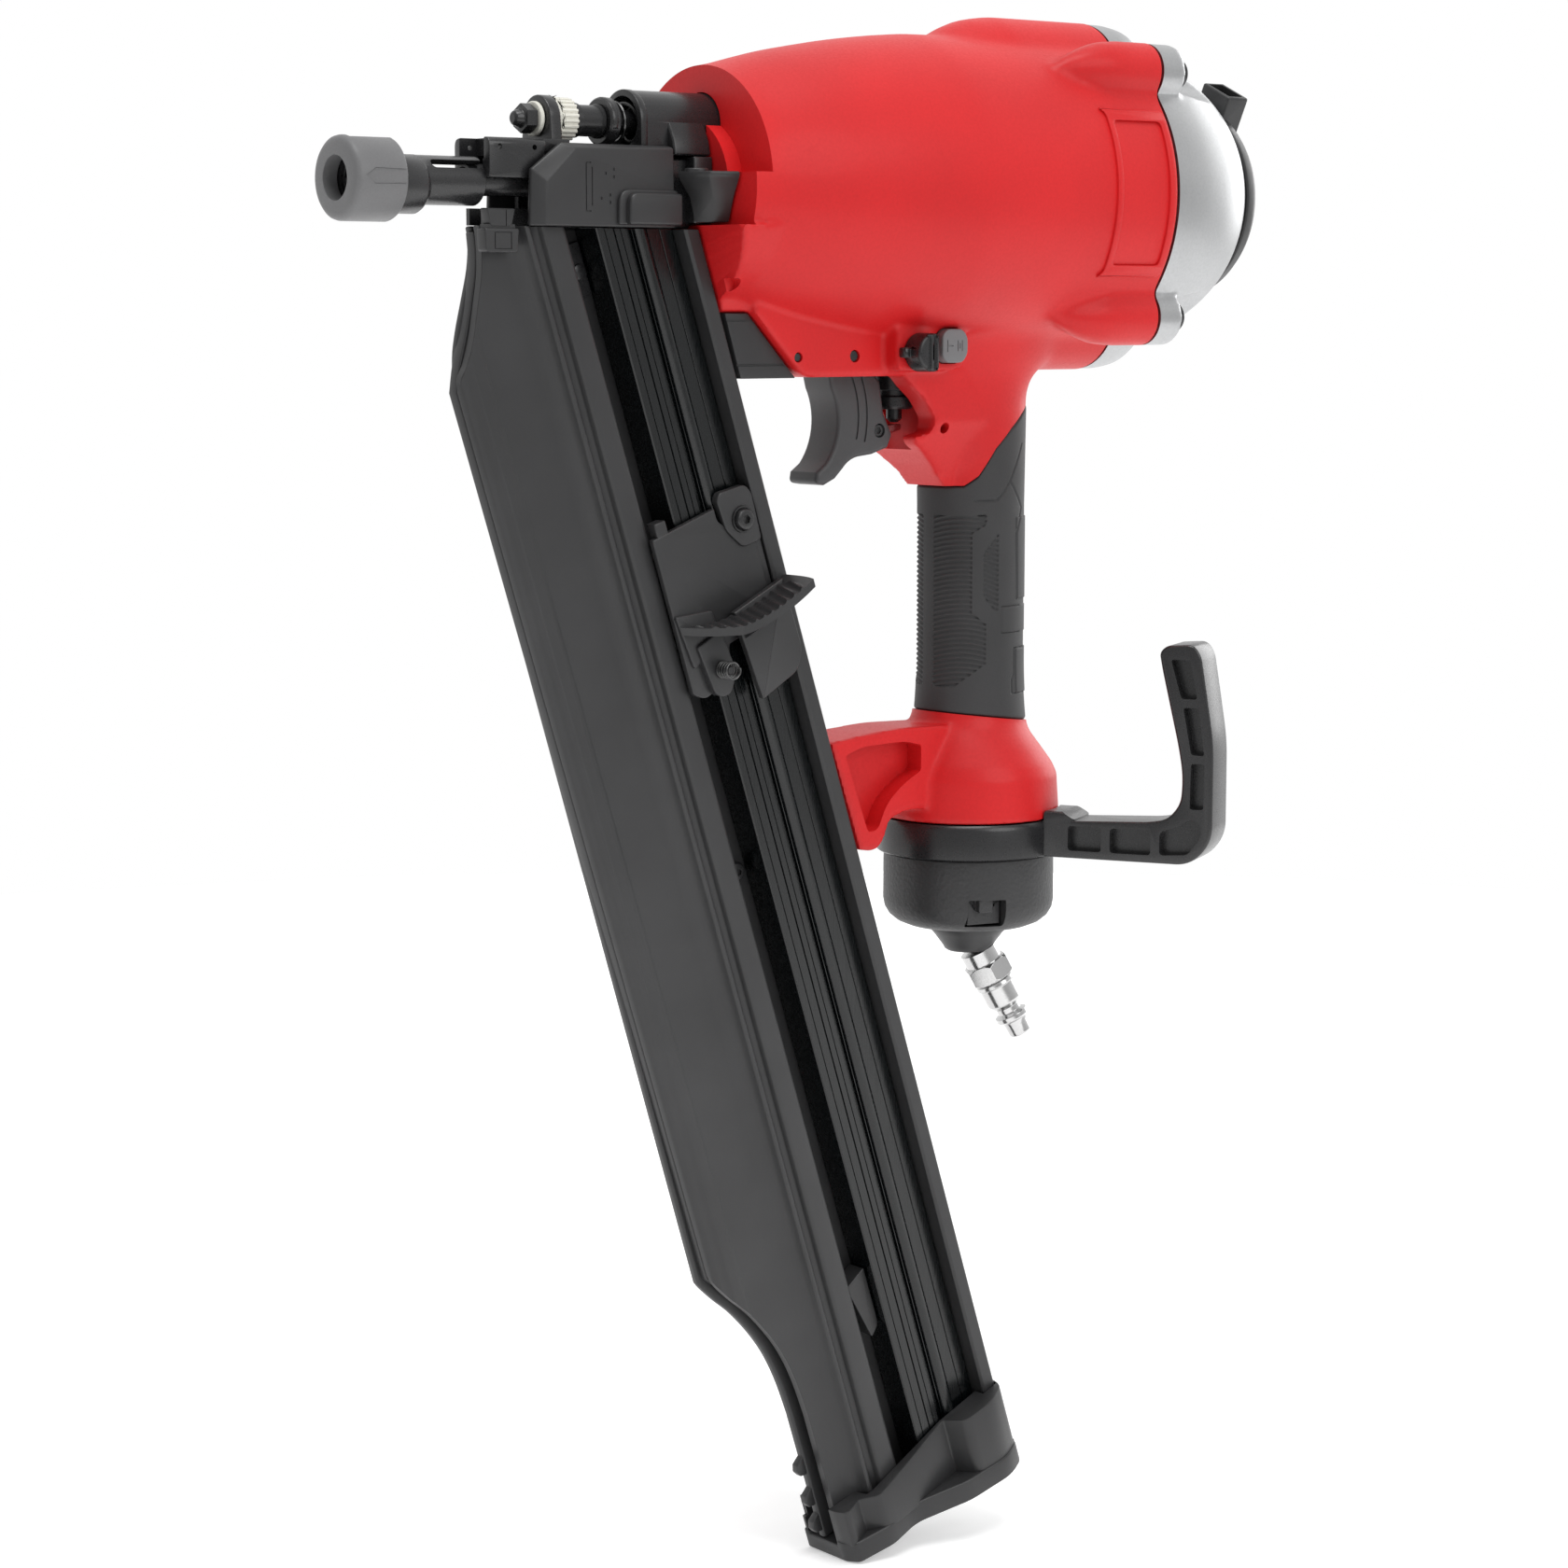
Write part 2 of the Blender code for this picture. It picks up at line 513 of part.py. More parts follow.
def build_foot(tool):
    ear = arc(0, TRIP_Z, 8.1, 0, 180, 11) + [(-8.1, 10.1), (8.1, 10.1)]
    saddle = block((48.2, -9.2, 2.6), (67.6, 9.2, 14.4))
    web = block((60, -8.1, 10.2), (77.3, 8.1, 14.4))
    trough = block((46, -5.7, 0), (80, 5.7, 9.3))
    hole = rod((70, 0, TRIP_Z), 12, SCREW_R + GAP, steps=16)
    make("foot_clamp", prism(ear, "X", 72.5, 77.3), "black_steel", tool, add=[saddle, web],
         cut=[trough, hole])

    profile = [(5.4, 5.5), (5.4, TUBE_R), (18.1, TUBE_R), (18.1, 8.8), (27, 8.8), (28.5, TUBE_R),
               (47.8, TUBE_R), (47.8, 5.5)]
    slot = block((31, -2.2, 5), (49, 2.2, 12))
    make("contact_tube", turned(profile, (0, 0, AXIS_Z), steps=28), "black_steel", tool,
         cut=[slot])

    pad = [(0, 6.5), (0, 10.8), (0.5, 11.8), (1.6, PAD_R), (16.4, PAD_R), (PAD_LENGTH, 11.4),
           (PAD_LENGTH, TUBE_R + GAP), (5, TUBE_R + GAP), (5, 6.5)]
    make("nose_pad", turned(pad, (0, 0, AXIS_Z), steps=24), "pad_rubber", tool)


# ---------------------------------------------------------------- magazine
def side_prism(points, low, high):
    """A slab in the magazine frame from (q, s) points, between two values of Y."""
    return prism([(q, -s) for q, s in points], "Y", low, high)


def bar_down(q_low, q_high, y_low, y_high, s_low, s_high):
    return block((q_low, y_low, -s_high), (q_high, y_high, -s_low))


def front_edge(inset):
    """The shell's front outline, from the neck down to the cut-away corner."""
    neck = [(36.5, magazine_s(36.5)), (35.6, 29), (32, 37), (25.5, 48), (21, 56),
            (MAG_FRONT, 64)]
    corner = [(MAG_FRONT, 370), (22.5, 376), (30, 388), (35.5, 399), (39.2, 412), (41, 430)]
    return neck + [(q - inset, s) for q, s in corner]


def build_magazine(mag):
    top = magazine_s(RAIL_OUT)
    near = front_edge(0) + [(41, MAG_END), (RAIL_OUT, MAG_END), (RAIL_OUT, top)]
    rail = side_prism([(RAIL_IN, magazine_s(RAIL_IN)), (RAIL_OUT, top), (RAIL_OUT, MAG_END),
                       (RAIL_IN, MAG_END)], -9.6, -4)
    groove = bar_down(55.5, 58.5, -12, -7, 20, MAG_END + 5)
    slot = side_prism([(38.6, 30), (40.6, 30), (37.4, 41), (28.6, 56), (24, 63.5), (22.6, 61.5),
                       (27.6, 52), (35.4, 40)], -8, -1)
    make("magazine_near_shell", side_prism(near, -4.8, -1.6), "black_polymer", mag,
         add=[rail], cut=[groove, slot])

    far = front_edge(2.5) + [(38.5, MAG_END), (MAG_REAR, MAG_END), (MAG_REAR, magazine_s(MAG_REAR))]
    thick = side_prism([(RAIL_IN, magazine_s(RAIL_IN)), (MAG_REAR, magazine_s(MAG_REAR)),
                        (MAG_REAR, MAG_END), (RAIL_IN, MAG_END)], 4, 9.6)
    lip = side_prism([(MAG_FRONT, 66), (22.2, 66), (22.2, 374), (MAG_FRONT, 370)], -1.3, 3)
    hooks = [side_prism([(39, s), (35.2, s + 3), (35.2, s + 6), (39, s + 8)], 1.8, 4.6)
             for s in (448, 460, 470)]
    make("magazine_far_shell", side_prism(far, 1.6, 4.8), "black_polymer", mag,
         add=[thick, lip] + hooks)

    track = [(TRACK_IN, -9.8), (83, -9.8), (83.6, -9.2), (84.2, -9.8), (87.5, -9.8), (88.1, -9.2),
             (88.7, -9.8), (91, -9.8)] + arc(94, -7.6, 2.6, 200, 340, 6) + [
             (97, -8.2), (100.6, -8.2), (101.2, -7.8), (101.8, -8.2), (TRACK_OUT, -8.2),
             (TRACK_OUT, -4), (91, -4), (91, 1.2), (TRACK_IN, 1.2)]
    low = -MAG_END
    high = -magazine_s(TRACK_OUT) - 0.5
    make("magazine_track", prism(track, "Z", low, high), "black_anodised", mag)

    rear = [(TRACK_OUT + GAP, -14), (MAG_REAR, -14), (MAG_REAR, 1.2), (TRACK_OUT + GAP, 1.2)]
    make("magazine_rear_rail", prism(rear, "Z", low, -magazine_s(MAG_REAR)), "black_polymer", mag)
    make("magazine_liner", bar_down(22.7, 23.6, -1.2, 1.2, 80, 368), "steel", mag)
    make("magazine_screw", rod((73.0, 1.3, -249), 2.4, 3.2, (0, -1, 0), 16), "black_steel", mag)
    make("track_stop", side_prism([(68, 398), (77, 395), (77, 418), (72, 418)], -6, 1.3),
         "black_polymer", mag)

    outline = [(38, -8), (40, -13), (54, -15.4), (60, -11), (80, -11), (86, -20), (104, -21),
               (112.6, -17), (114.6, -6), (114.6, 12), (38, 12)]
    pocket = [(30, -5.1), (50, -5.1), (52, -9.9), (78, -9.9), (84, -14.4), (112.4, -14.4),
              (112.4, 20), (30, 20)]
    make("magazine_end_cap", prism(outline, "Z", -CAP_END, -464), "black_polymer", mag,
         cut=[prism(pocket, "Z", -MAG_END - GAP, -460)])


def build_clip(tool):
    outline = [(45, -19.2), (57, -19.2), (57.5, -12), (57, -6.4), (46, -6.4), (45, -12)]
    make("magazine_clip", prism(outline, "Y", -9.4, -5.2), "black_polymer", tool)


def build_pusher(mag):
    plate = [(66, 133), (92, 131.5), (95, 129), (106, 131), (106, 146), (104, 160), (104, 172),
             (84, 174), (82, 184), (70, 187), (66, 184)]
    finger = bar_down(68.2, 76.6, -11, -1.6, 140, 158)
    ear = side_prism([(70, 170), (80, 168), (82, 182), (76, 188), (71, 186)], -15.4, -12)
    make("pusher_body", side_prism(plate, -12.8, -12.8 + 2.4), "black_polymer", mag,
         add=[finger, ear])

    face = -14.3
    hinge = (88, face, -160)
    ledge = loft([[(q, y, -s) for q, s in
                   ((68, 161.2), (80, 164.4), (92, 164.4), (103, 161.4), (109.6, 159),
                    (109.6, 162), (103, 164.4), (92, 167.4), (80, 167.4), (68, 164.2))]
                  for y in (face, -29.4)])
    lower = side_prism([(85, 163), (107.6, 160), (108, 186), (104.5, 190), (86, 193)],
                       face - 2.5, face)
    make("pusher_thumb", ledge, "black_polymer", mag, origin=hinge, add=[lower])

    head = turned([(0, 0), (0, 3.6), (2.2, 3.4), (2.6, 2.8), (2.6, 1.5), (1.2, 1.5), (1.2, 0)],
                  (100.4, -13.1, -139.5), (0, -1, 0), 18)
    make("pusher_screw", head, "black_steel", mag)
    latch_spring = coil((77, -15.7, -179), (0, -1, 0), 6, 2.6, 0.4, 4)
    make("pusher_latch_spring", latch_spring, "spring_steel", mag)
    roll = turned([(0, 1.6), (0, 3.9), (7.6, 3.9), (7.6, 1.6)], (68.5, -6.0, -169), (1, 0, 0), 16)
    make("pusher_roll_spring", roll, "steel", mag)


# ---------------------------------------------------------------- base and hook
def build_base(tool):
    line = (HANDLE_X, 0, 0)
    shell = [(-216.3, 23.0), (-216.3, 28.4), (-233, 28.6), (-237.5, 27.4), (-240.6, 23.6),
             (-241.6, 18), (-241.6, 8.3), (-236, 8.3), (-236, 23.0)]
    window = block((HANDLE_X - 12, -40, -238), (HANDLE_X + 0.5, -20, -229))
    turn = Matrix.Translation(line) @ Matrix.Rotation(math.radians(24), 4, "Z")
    turn = turn @ Matrix.Translation((-HANDLE_X, 0, 0))
    bmesh.ops.transform(window, matrix=turn, verts=window.verts)
    make("base_cap", turned(shell, line, (0, 0, 1), 28), "black_polymer", tool, cut=[window])

    swivel = [(-250.4, 3.2), (-250.4, 8.0), (-247, 9.4), (-242.2, 13.6), (-242.0, 8.0),
              (-235.7, 8.0), (-235.7, 12), (-232, 12), (-232, 3.2)]
    make("air_swivel", turned(swivel, line, (0, 0, 1), 20), "black_polymer", tool, origin=line)

    down = Vector((math.sin(PLUG_TILT) * math.cos(PLUG_TURN),
                   math.sin(PLUG_TILT) * math.sin(PLUG_TURN), -math.cos(PLUG_TILT)))
    start = Vector((HANDLE_X + 3.4, -1.9, -251.4)) + down * 2.6
    plug = [(0, 3.0), (0, 6.4), (8.6, 6.4), (8.6, 5.6), (17, 5.6), (18.6, 4.1), (20.8, 4.1),
            (21.4, 5.6), (23.2, 5.6), (24, 4.0), (29, 3.9), (29.6, 3.5), (29.6, 2.6), (6, 2.6)]
    hexagon = turned([(1.2, 3.2), (1.2, 8.2), (7.4, 8.2), (7.4, 3.2)], start, down, 6)
    make("air_plug", turned(plug, start, down, 16), "steel", tool, origin=line, add=[hexagon])


def build_hook(tool):
    line = (HANDLE_X, 0, 0)
    arm = [(27, -204.5), (70, -202.6), (74.6, -200), (77, -187), (75.6, -178), (69.6, -152),
           (68.6, -147), (70.4, -145), (80.4, -144.4), (82.6, -147), (84.8, -160.6),
           (HOOK_REACH, -176), (HOOK_REACH, -211.5), (83.5, -215.7), (27, -215.7)]
    bar = prism(arm, "Y", -8.6, 8.6)
    ring = tube((0, 0, -215.7), 11.3, 31, 24.4, (0, 0, 1), 36)
    centre = rod((0, 0, -218), 20, 24.4, (0, 0, 1), 36)
    for mesh in (bar, ring, centre):
        turn = Matrix.Translation(line) @ Matrix.Rotation(HOOK_ANGLE, 4, "Z")
        bmesh.ops.transform(mesh, matrix=turn, verts=mesh.verts)
    make("hook", ring, "black_steel", tool, origin=line, add=[bar], cut=[centre])


# ---------------------------------------------------------------- assembly
def main():
    tool = frame_empty("tool_frame", TOOL_OFFSET)
    mag = frame_empty("magazine_frame", parent=tool, rotation=(0, -LEAN, 0))
    build_housing(tool)
    build_grip(tool)
    build_cap(tool)
    build_deflector(tool)
    build_motor(tool)
    build_trigger(tool)
    build_controls(tool)
    build_nose(tool)
    build_trip(tool)
    build_foot(tool)
    build_magazine(mag)
    build_clip(tool)
    build_pusher(mag)
    build_base(tool)
    build_hook(tool)


clear_scene()
MATERIALS = {name: material(name, *values) for name, values in FINISHES.items()}
main()
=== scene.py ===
"""Looks of the framing nailer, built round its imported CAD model.

Shapes are worked out in the tool frame, in millimetres: its origin is the
centre of the nose pad's front face, +X runs towards the cap and +Z is up. The
magazine frame is the tool frame tipped about Y, so that its own -Z runs down
the magazine; there q is the distance across it and s the distance down it.
"""

import math

import bmesh
import bpy
from mathutils import Matrix, Vector


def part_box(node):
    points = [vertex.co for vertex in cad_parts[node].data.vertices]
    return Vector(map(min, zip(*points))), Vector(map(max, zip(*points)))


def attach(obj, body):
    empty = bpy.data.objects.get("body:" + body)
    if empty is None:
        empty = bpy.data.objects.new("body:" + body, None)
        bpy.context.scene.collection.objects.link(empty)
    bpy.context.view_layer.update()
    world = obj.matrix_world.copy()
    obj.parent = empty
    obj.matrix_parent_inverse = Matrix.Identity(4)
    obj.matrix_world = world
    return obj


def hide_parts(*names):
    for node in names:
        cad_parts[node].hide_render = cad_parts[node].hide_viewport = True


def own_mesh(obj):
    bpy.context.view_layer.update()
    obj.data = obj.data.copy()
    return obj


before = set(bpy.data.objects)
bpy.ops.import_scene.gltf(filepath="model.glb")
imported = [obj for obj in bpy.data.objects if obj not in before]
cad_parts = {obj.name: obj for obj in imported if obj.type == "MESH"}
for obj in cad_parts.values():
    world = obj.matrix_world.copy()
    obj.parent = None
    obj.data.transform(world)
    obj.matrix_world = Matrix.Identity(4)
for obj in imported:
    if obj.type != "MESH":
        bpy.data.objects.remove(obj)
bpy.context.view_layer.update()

MM = 0.001
AXIS_Z = 1.6                  # height of the cylinder's axis over the pad's centre
TRIP_Z = 20.5                 # height of the depth screw's axis
HANDLE_X = 246.0              # axis of the grip, the base and the air inlet
SEAM_X = 292.0                # joint between the casting and the cap
OVAL = 0.965                  # width of the barrel and cap against their height
LUG_Y = 31.5                  # cap screws, either side of the axis
LUG_Z = 40.0
LOBE_Z = 37.5                 # rounded lobes over and under the barrel
LEAN = math.radians(18.0)     # the magazine's tilt
RAIL_IN = 53.0
RAIL_OUT = 67.0
MAG_FRONT = 19.5
MAG_REAR = 112.0
MAG_END = 480.0
CAP_END = 486.0
NOSE_FLOOR = -11.4            # level line where the magazine's top meets the nose
PIVOT = (181, -50.5)          # trigger's pin, as (x, z)
KEEL_PIN = (158, -50.7)
KNOB = Vector((201.6, -24.3, -49.4))
BUTTON = Vector((214.2, -24.0, -47.4))
HOOK_ANGLE = math.radians(-62.0)
WINDOW_ANGLE = math.radians(-17.0)
DUCT_ANGLE = math.radians(25.0)
GRIP_X = 18.9                 # half widths of the sleeve
GRIP_Y = 16.4
GRIP_FOOT = -170.3            # foot of the sleeve, which falls away to the rear
GRIP_FALL = -0.13
AXIS = (0, 0, AXIS_Z)
NEARWARD = (0, -1, 0)         # towards the near side, the one with the label
CAMERA_AT = Vector((-556.7, -889.8, -35.8))
CAMERA_AZIMUTH = math.radians(39.08)
CAMERA_DROP = math.radians(7.54)
CAMERA_LENS = 82.35

pad_low, pad_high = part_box("nose_pad")
ORIGIN = Vector((pad_low.x, (pad_low.y + pad_high.y) / 2,
                 (pad_low.z + pad_high.z) / 2 - AXIS_Z * MM))
TOOL = Matrix.Translation(ORIGIN) @ Matrix.Scale(MM, 4)
MAGAZINE = TOOL @ Matrix.Rotation(-LEAN, 4, "Y")


# ---------------------------------------------------------------- materials
def add_node(tree, kind, **values):
    """A new node with its properties set."""
    made = tree.nodes.new(kind)
    for key, value in values.items():
        setattr(made, key, value)
    return made


def noise_node(tree, place, size_mm, detail=2.0, roughness=0.5):
    """Noise whose grains are about size_mm across."""
    made = add_node(tree, "ShaderNodeTexNoise")
    made.inputs["Scale"].default_value = 1.0 / (size_mm * MM)
    made.inputs["Detail"].default_value = detail
    made.inputs["Roughness"].default_value = roughness
    tree.links.new(place, made.inputs["Vector"])
    return made.outputs["Fac"]


def span(tree, value, low, high, start=0.3, end=0.7):
    """A value from start to end stretched to run from low to high."""
    made = add_node(tree, "ShaderNodeMapRange")
    made.inputs["From Min"].default_value = start
    made.inputs["From Max"].default_value = end
    made.inputs["To Min"].default_value = low
    made.inputs["To Max"].default_value = high
    tree.links.new(value, made.inputs["Value"])
    return made.outputs["Result"]


def surface(name, colour, roughness, metallic=0.0, mottle=0.08, patch=25.0, gloss=0.05,
            grain=0.6, relief=0.02, coat=0.0, stretch=(1, 1, 1), turn=(0, 0, 0), specular=0.5,
            pores=0.0):
    """A finish whose colour and gloss drift gently and whose skin has a fine grain.

    grain is the size of the grain and relief its height, in millimetres, and
    stretch draws the grain out into brushed or extruded lines.
    """
    made = bpy.data.materials.new(name)
    made.use_nodes = True
    tree = made.node_tree
    shader = tree.nodes["Principled BSDF"]
    shader.inputs["Metallic"].default_value = metallic
    shader.inputs["Coat Weight"].default_value = coat
    shader.inputs["Coat Roughness"].default_value = 0.18
    shader.inputs["Specular IOR Level"].default_value = specular
    place = add_node(tree, "ShaderNodeTexCoord").outputs["Object"]
    mapping = add_node(tree, "ShaderNodeMapping")
    mapping.inputs["Rotation"].default_value = turn
    mapping.inputs["Scale"].default_value = stretch
    tree.links.new(place, mapping.inputs["Vector"])
    fine = noise_node(tree, mapping.outputs["Vector"], grain, 3.0, 0.6)
    broad = noise_node(tree, place, patch, 2.0)
    mix = add_node(tree, "ShaderNodeMix", data_type="RGBA")
    dark = [c * (1 - mottle) for c in colour]
    light = [min(1.0, c * (1 + mottle)) for c in colour]
    mix.inputs["A"].default_value = (*dark, 1.0)
    mix.inputs["B"].default_value = (*light, 1.0)
    tree.links.new(span(tree, broad, 0, 1), mix.inputs["Factor"])
    colour_out = mix.outputs["Result"]
    speck = add_node(tree, "ShaderNodeMix", data_type="RGBA", blend_type="MULTIPLY")
    speck.inputs["B"].default_value = (0.82, 0.82, 0.82, 1.0)
    tree.links.new(span(tree, fine, 0.0, 0.5, 0.35, 0.75), speck.inputs["Factor"])
    tree.links.new(colour_out, speck.inputs["A"])
    tree.links.new(speck.outputs["Result"], shader.inputs["Base Color"])
    tree.links.new(span(tree, fine, roughness - gloss, roughness + gloss),
                   shader.inputs["Roughness"])
    height = fine
    if pores:
        cells = add_node(tree, "ShaderNodeTexVoronoi")
        cells.inputs["Scale"].default_value = 1.0 / (pores * MM)
        tree.links.new(place, cells.inputs["Vector"])
        total = add_node(tree, "ShaderNodeMath", operation="ADD")
        tree.links.new(fine, total.inputs[0])
        tree.links.new(cells.outputs["Distance"], total.inputs[1])
        height = total.outputs["Value"]
    bump = add_node(tree, "ShaderNodeBump")
    bump.inputs["Strength"].default_value = 1.0
    bump.inputs["Distance"].default_value = relief * MM
    tree.links.new(height, bump.inputs["Height"])
    tree.links.new(bump.outputs["Normal"], shader.inputs["Normal"])
    return made


FINISH_TABLE = {
    "red_enamel": ((0.60, 0.010, 0.012), 0.48, dict(
        mottle=0.05, grain=0.9, relief=0.035, coat=0.06, patch=40, specular=0.3)),
    "black_polymer": ((0.027, 0.027, 0.028), 0.40, dict(
        grain=0.45, relief=0.012, mottle=0.12, specular=0.45)),
    # the nail track's blue-tinted black is its anodised finish made darker still with painted
    # shade: the shadow of the recessed channel is painted into this colour
    "black_anodised": ((0.0022, 0.0032, 0.0036), 0.24, dict(
        grain=0.25, relief=0.01, stretch=(1, 1, 0.02), turn=(0, -LEAN, 0), gloss=0.08)),
    "black_steel": ((0.014, 0.014, 0.015), 0.3, dict(
        grain=0.5, relief=0.006, mottle=0.15, specular=0.6)),
    "grip_rubber": ((0.040, 0.040, 0.041), 0.62, dict(
        grain=0.35, relief=0.03, mottle=0.1, specular=0.35)),
    "pad_rubber": ((0.155, 0.155, 0.158), 0.45, dict(relief=0.01, mottle=0.05, specular=0.4)),
    "cast_aluminium": ((0.46, 0.465, 0.47), 0.40, dict(
        metallic=1.0, grain=0.8, mottle=0.05, gloss=0.04, patch=30)),
    "steel": ((0.62, 0.62, 0.62), 0.2, dict(
        metallic=1.0, grain=0.4, relief=0.004, mottle=0.05)),
    "spring_steel": ((0.10, 0.10, 0.10), 0.3, dict(metallic=1.0, grain=0.3, relief=0.003)),
    "white_polymer": ((0.72, 0.71, 0.64), 0.42, dict(grain=0.4, relief=0.01, mottle=0.04)),
    "grey_polymer": ((0.050, 0.050, 0.052), 0.46, dict(grain=0.4, relief=0.015)),
    "button_polymer": ((0.16, 0.16, 0.165), 0.45, dict(grain=0.4, relief=0.01, mottle=0.05)),
    "textured_polymer": ((0.026, 0.026, 0.027), 0.5, dict(
        grain=0.9, relief=0.10, pores=1.3, mottle=0.12)),
    "glossy_polymer": ((0.016, 0.016, 0.017), 0.3, dict(grain=0.5, relief=0.008, mottle=0.1)),
    "seal_rubber": ((0.008, 0.008, 0.008), 0.6, dict(grain=0.4, relief=0.01)),
}
FINISHES = {name: surface(name, colour, roughness, **more)
            for name, (colour, roughness, more) in FINISH_TABLE.items()}


# ---------------------------------------------------------------- mesh helpers
def tidy(mesh):
    bmesh.ops.remove_doubles(mesh, verts=mesh.verts, dist=1e-4)
    bmesh.ops.recalc_face_normals(mesh, faces=mesh.faces)
    return mesh


def loft(rings, closed=False):
    """Skin a list of equal rings of points, and close both ends."""
    mesh = bmesh.new()
    rows = [[mesh.verts.new(point) for point in ring] for ring in rings]
    count = len(rows[0])
    pairs = list(zip(rows, rows[1:]))
    if closed:
        pairs.append((rows[-1], rows[0]))
    for low, high in pairs:
        for i in range(count):
            j = (i + 1) % count
            mesh.faces.new((low[i], low[j], high[j], high[i]))
    if not closed:
        mesh.faces.new(rows[0][::-1])
        mesh.faces.new(rows[-1])
    return tidy(mesh)


def prism(outline, axis, low, high):
    """Extrude a flat outline along X, Y or Z; its points are (y, z), (x, z) or (x, y)."""
    def point(a, b, c):
        return {"X": (c, a, b), "Y": (a, c, b), "Z": (a, b, c)}[axis]

    return loft([[point(a, b, c) for a, b in outline] for c in (low, high)])


def block(low, high):
    outline = [(low[0], low[1]), (high[0], low[1]), (high[0], high[1]), (low[0], high[1])]
    return prism(outline, "Z", low[2], high[2])


def aim(direction):
    """The turn that takes +Z to a direction."""
    return Vector((0, 0, 1)).rotation_difference(Vector(direction)).to_matrix().to_4x4()


def turned(profile, centre, direction=(1, 0, 0), steps=64):
    """Spin (along, radius) points round an axis through centre."""
    mesh = bmesh.new()
    points = [mesh.verts.new((radius, 0, along)) for along, radius in profile]
    pairs = list(zip(points, points[1:]))
    if profile[0][1] > 0 or profile[-1][1] > 0:
        pairs.append((points[-1], points[0]))
    edges = [mesh.edges.new(pair) for pair in pairs]
    bmesh.ops.spin(mesh, geom=points + edges, axis=(0, 0, 1), cent=(0, 0, 0),
                   angle=math.tau, steps=steps, use_merge=True)
    bmesh.ops.transform(mesh, matrix=Matrix.Translation(centre) @ aim(direction),
                        verts=mesh.verts)
    return tidy(mesh)


def rod(start, length, radius, direction=(1, 0, 0), steps=48):
    return turned([(0, 0), (0, radius), (length, radius), (length, 0)], start, direction, steps)


def coil(centre, direction, length, radius, wire, turns, steps=28, sides=8):
    """A round wire wound on a cylinder, its end turns lying nearly closed."""
    lead = 0.8 / turns
    low = 1.7 * wire
    height = length - 2 * wire
    rings = []
    count = int(turns * steps)
    for i in range(count + 1):
        share = i / count
        if share < lead:
            rise = low * share / lead
        elif share > 1 - lead:
            rise = height - low * (1 - share) / lead
        else:
            rise = low + (height - 2 * low) * (share - lead) / (1 - 2 * lead)
        angle = math.tau * i / steps
        out = Vector((math.cos(angle), math.sin(angle), 0))
        middle = out * radius + Vector((0, 0, wire + rise))
        ring = []
        for k in range(sides):
            turn = math.tau * k / sides
            ring.append(middle + (out * math.cos(turn) + Vector((0, 0, 1)) * math.sin(turn)) * wire)
        rings.append(ring)
    return moved(loft(rings), Matrix.Translation(centre) @ aim(direction))


def arc(cx, cy, radius, start, end, count):
    """Points on an arc, angles in degrees."""
    points = []
    for i in range(count):
        angle = math.radians(start + (end - start) * i / (count - 1))
        points.append((cx + radius * math.cos(angle), cy + radius * math.sin(angle)))
    return points


def rounded(points, radius, count=6):
    """Round each corner of a closed outline. radius is one number, or one for each corner."""
    total = len(points)
    radii = radius if isinstance(radius, (list, tuple)) else [radius] * total
    result = []
    for i in range(total):
        here = Vector(points[i])
        back = Vector(points[i - 1]) - here
        ahead = Vector(points[(i + 1) % total]) - here
        reach = min(radii[i], back.length * 0.48, ahead.length * 0.48)
        if reach < 0.01:
            result.append(tuple(here))
            continue
        start = here + back.normalized() * reach
        end = here + ahead.normalized() * reach
        for k in range(count):
            t = k / (count - 1)
            point = start * (1 - t) ** 2 + here * 2 * t * (1 - t) + end * t * t
            result.append(tuple(point))
    return result


def smooth_line(points, per_span=6):
    """A Catmull-Rom line through (along, radius) points."""
    result = []
    last = len(points) - 1
    for i in range(last):
        p0 = Vector(points[max(i - 1, 0)])
        p1 = Vector(points[i])
        p2 = Vector(points[i + 1])
        p3 = Vector(points[min(i + 2, last)])
        for k in range(per_span):
            t = k / per_span
            point = 0.5 * (2 * p1 + (p2 - p0) * t + (2 * p0 - 5 * p1 + 4 * p2 - p3) * t * t
                           + (3 * p1 - p0 - 3 * p2 + p3) * t ** 3)
            result.append(tuple(point))
    result.append(tuple(points[-1]))
    return result


def moved(mesh, matrix):
    bmesh.ops.transform(mesh, matrix=matrix, verts=mesh.verts)
    return mesh


def joined(meshes):
    """Several meshes as one, with no boolean."""
    result = bmesh.new()
    for mesh in meshes:
        data = bpy.data.meshes.new("part")
        mesh.to_mesh(data)
        mesh.free()
        result.from_mesh(data)
        bpy.data.meshes.remove(data)
    return result


def temporary(mesh):
    """A short-lived object for modifiers to work on."""
    data = bpy.data.meshes.new("temporary")
    mesh.to_mesh(data)
    mesh.free()
    thing = bpy.data.objects.new("temporary", data)
    bpy.context.scene.collection.objects.link(thing)
    return thing


def evaluated(thing, others=()):
    """The mesh of a temporary object with its modifiers applied; the objects are removed."""
    bpy.context.view_layer.update()
    graph = bpy.context.evaluated_depsgraph_get()
    result = bmesh.new()
    source = thing.evaluated_get(graph)
    result.from_mesh(source.to_mesh())
    source.to_mesh_clear()
    for old in (thing, *others):
        data = old.data
        bpy.data.objects.remove(old)
        bpy.data.meshes.remove(data)
    return result


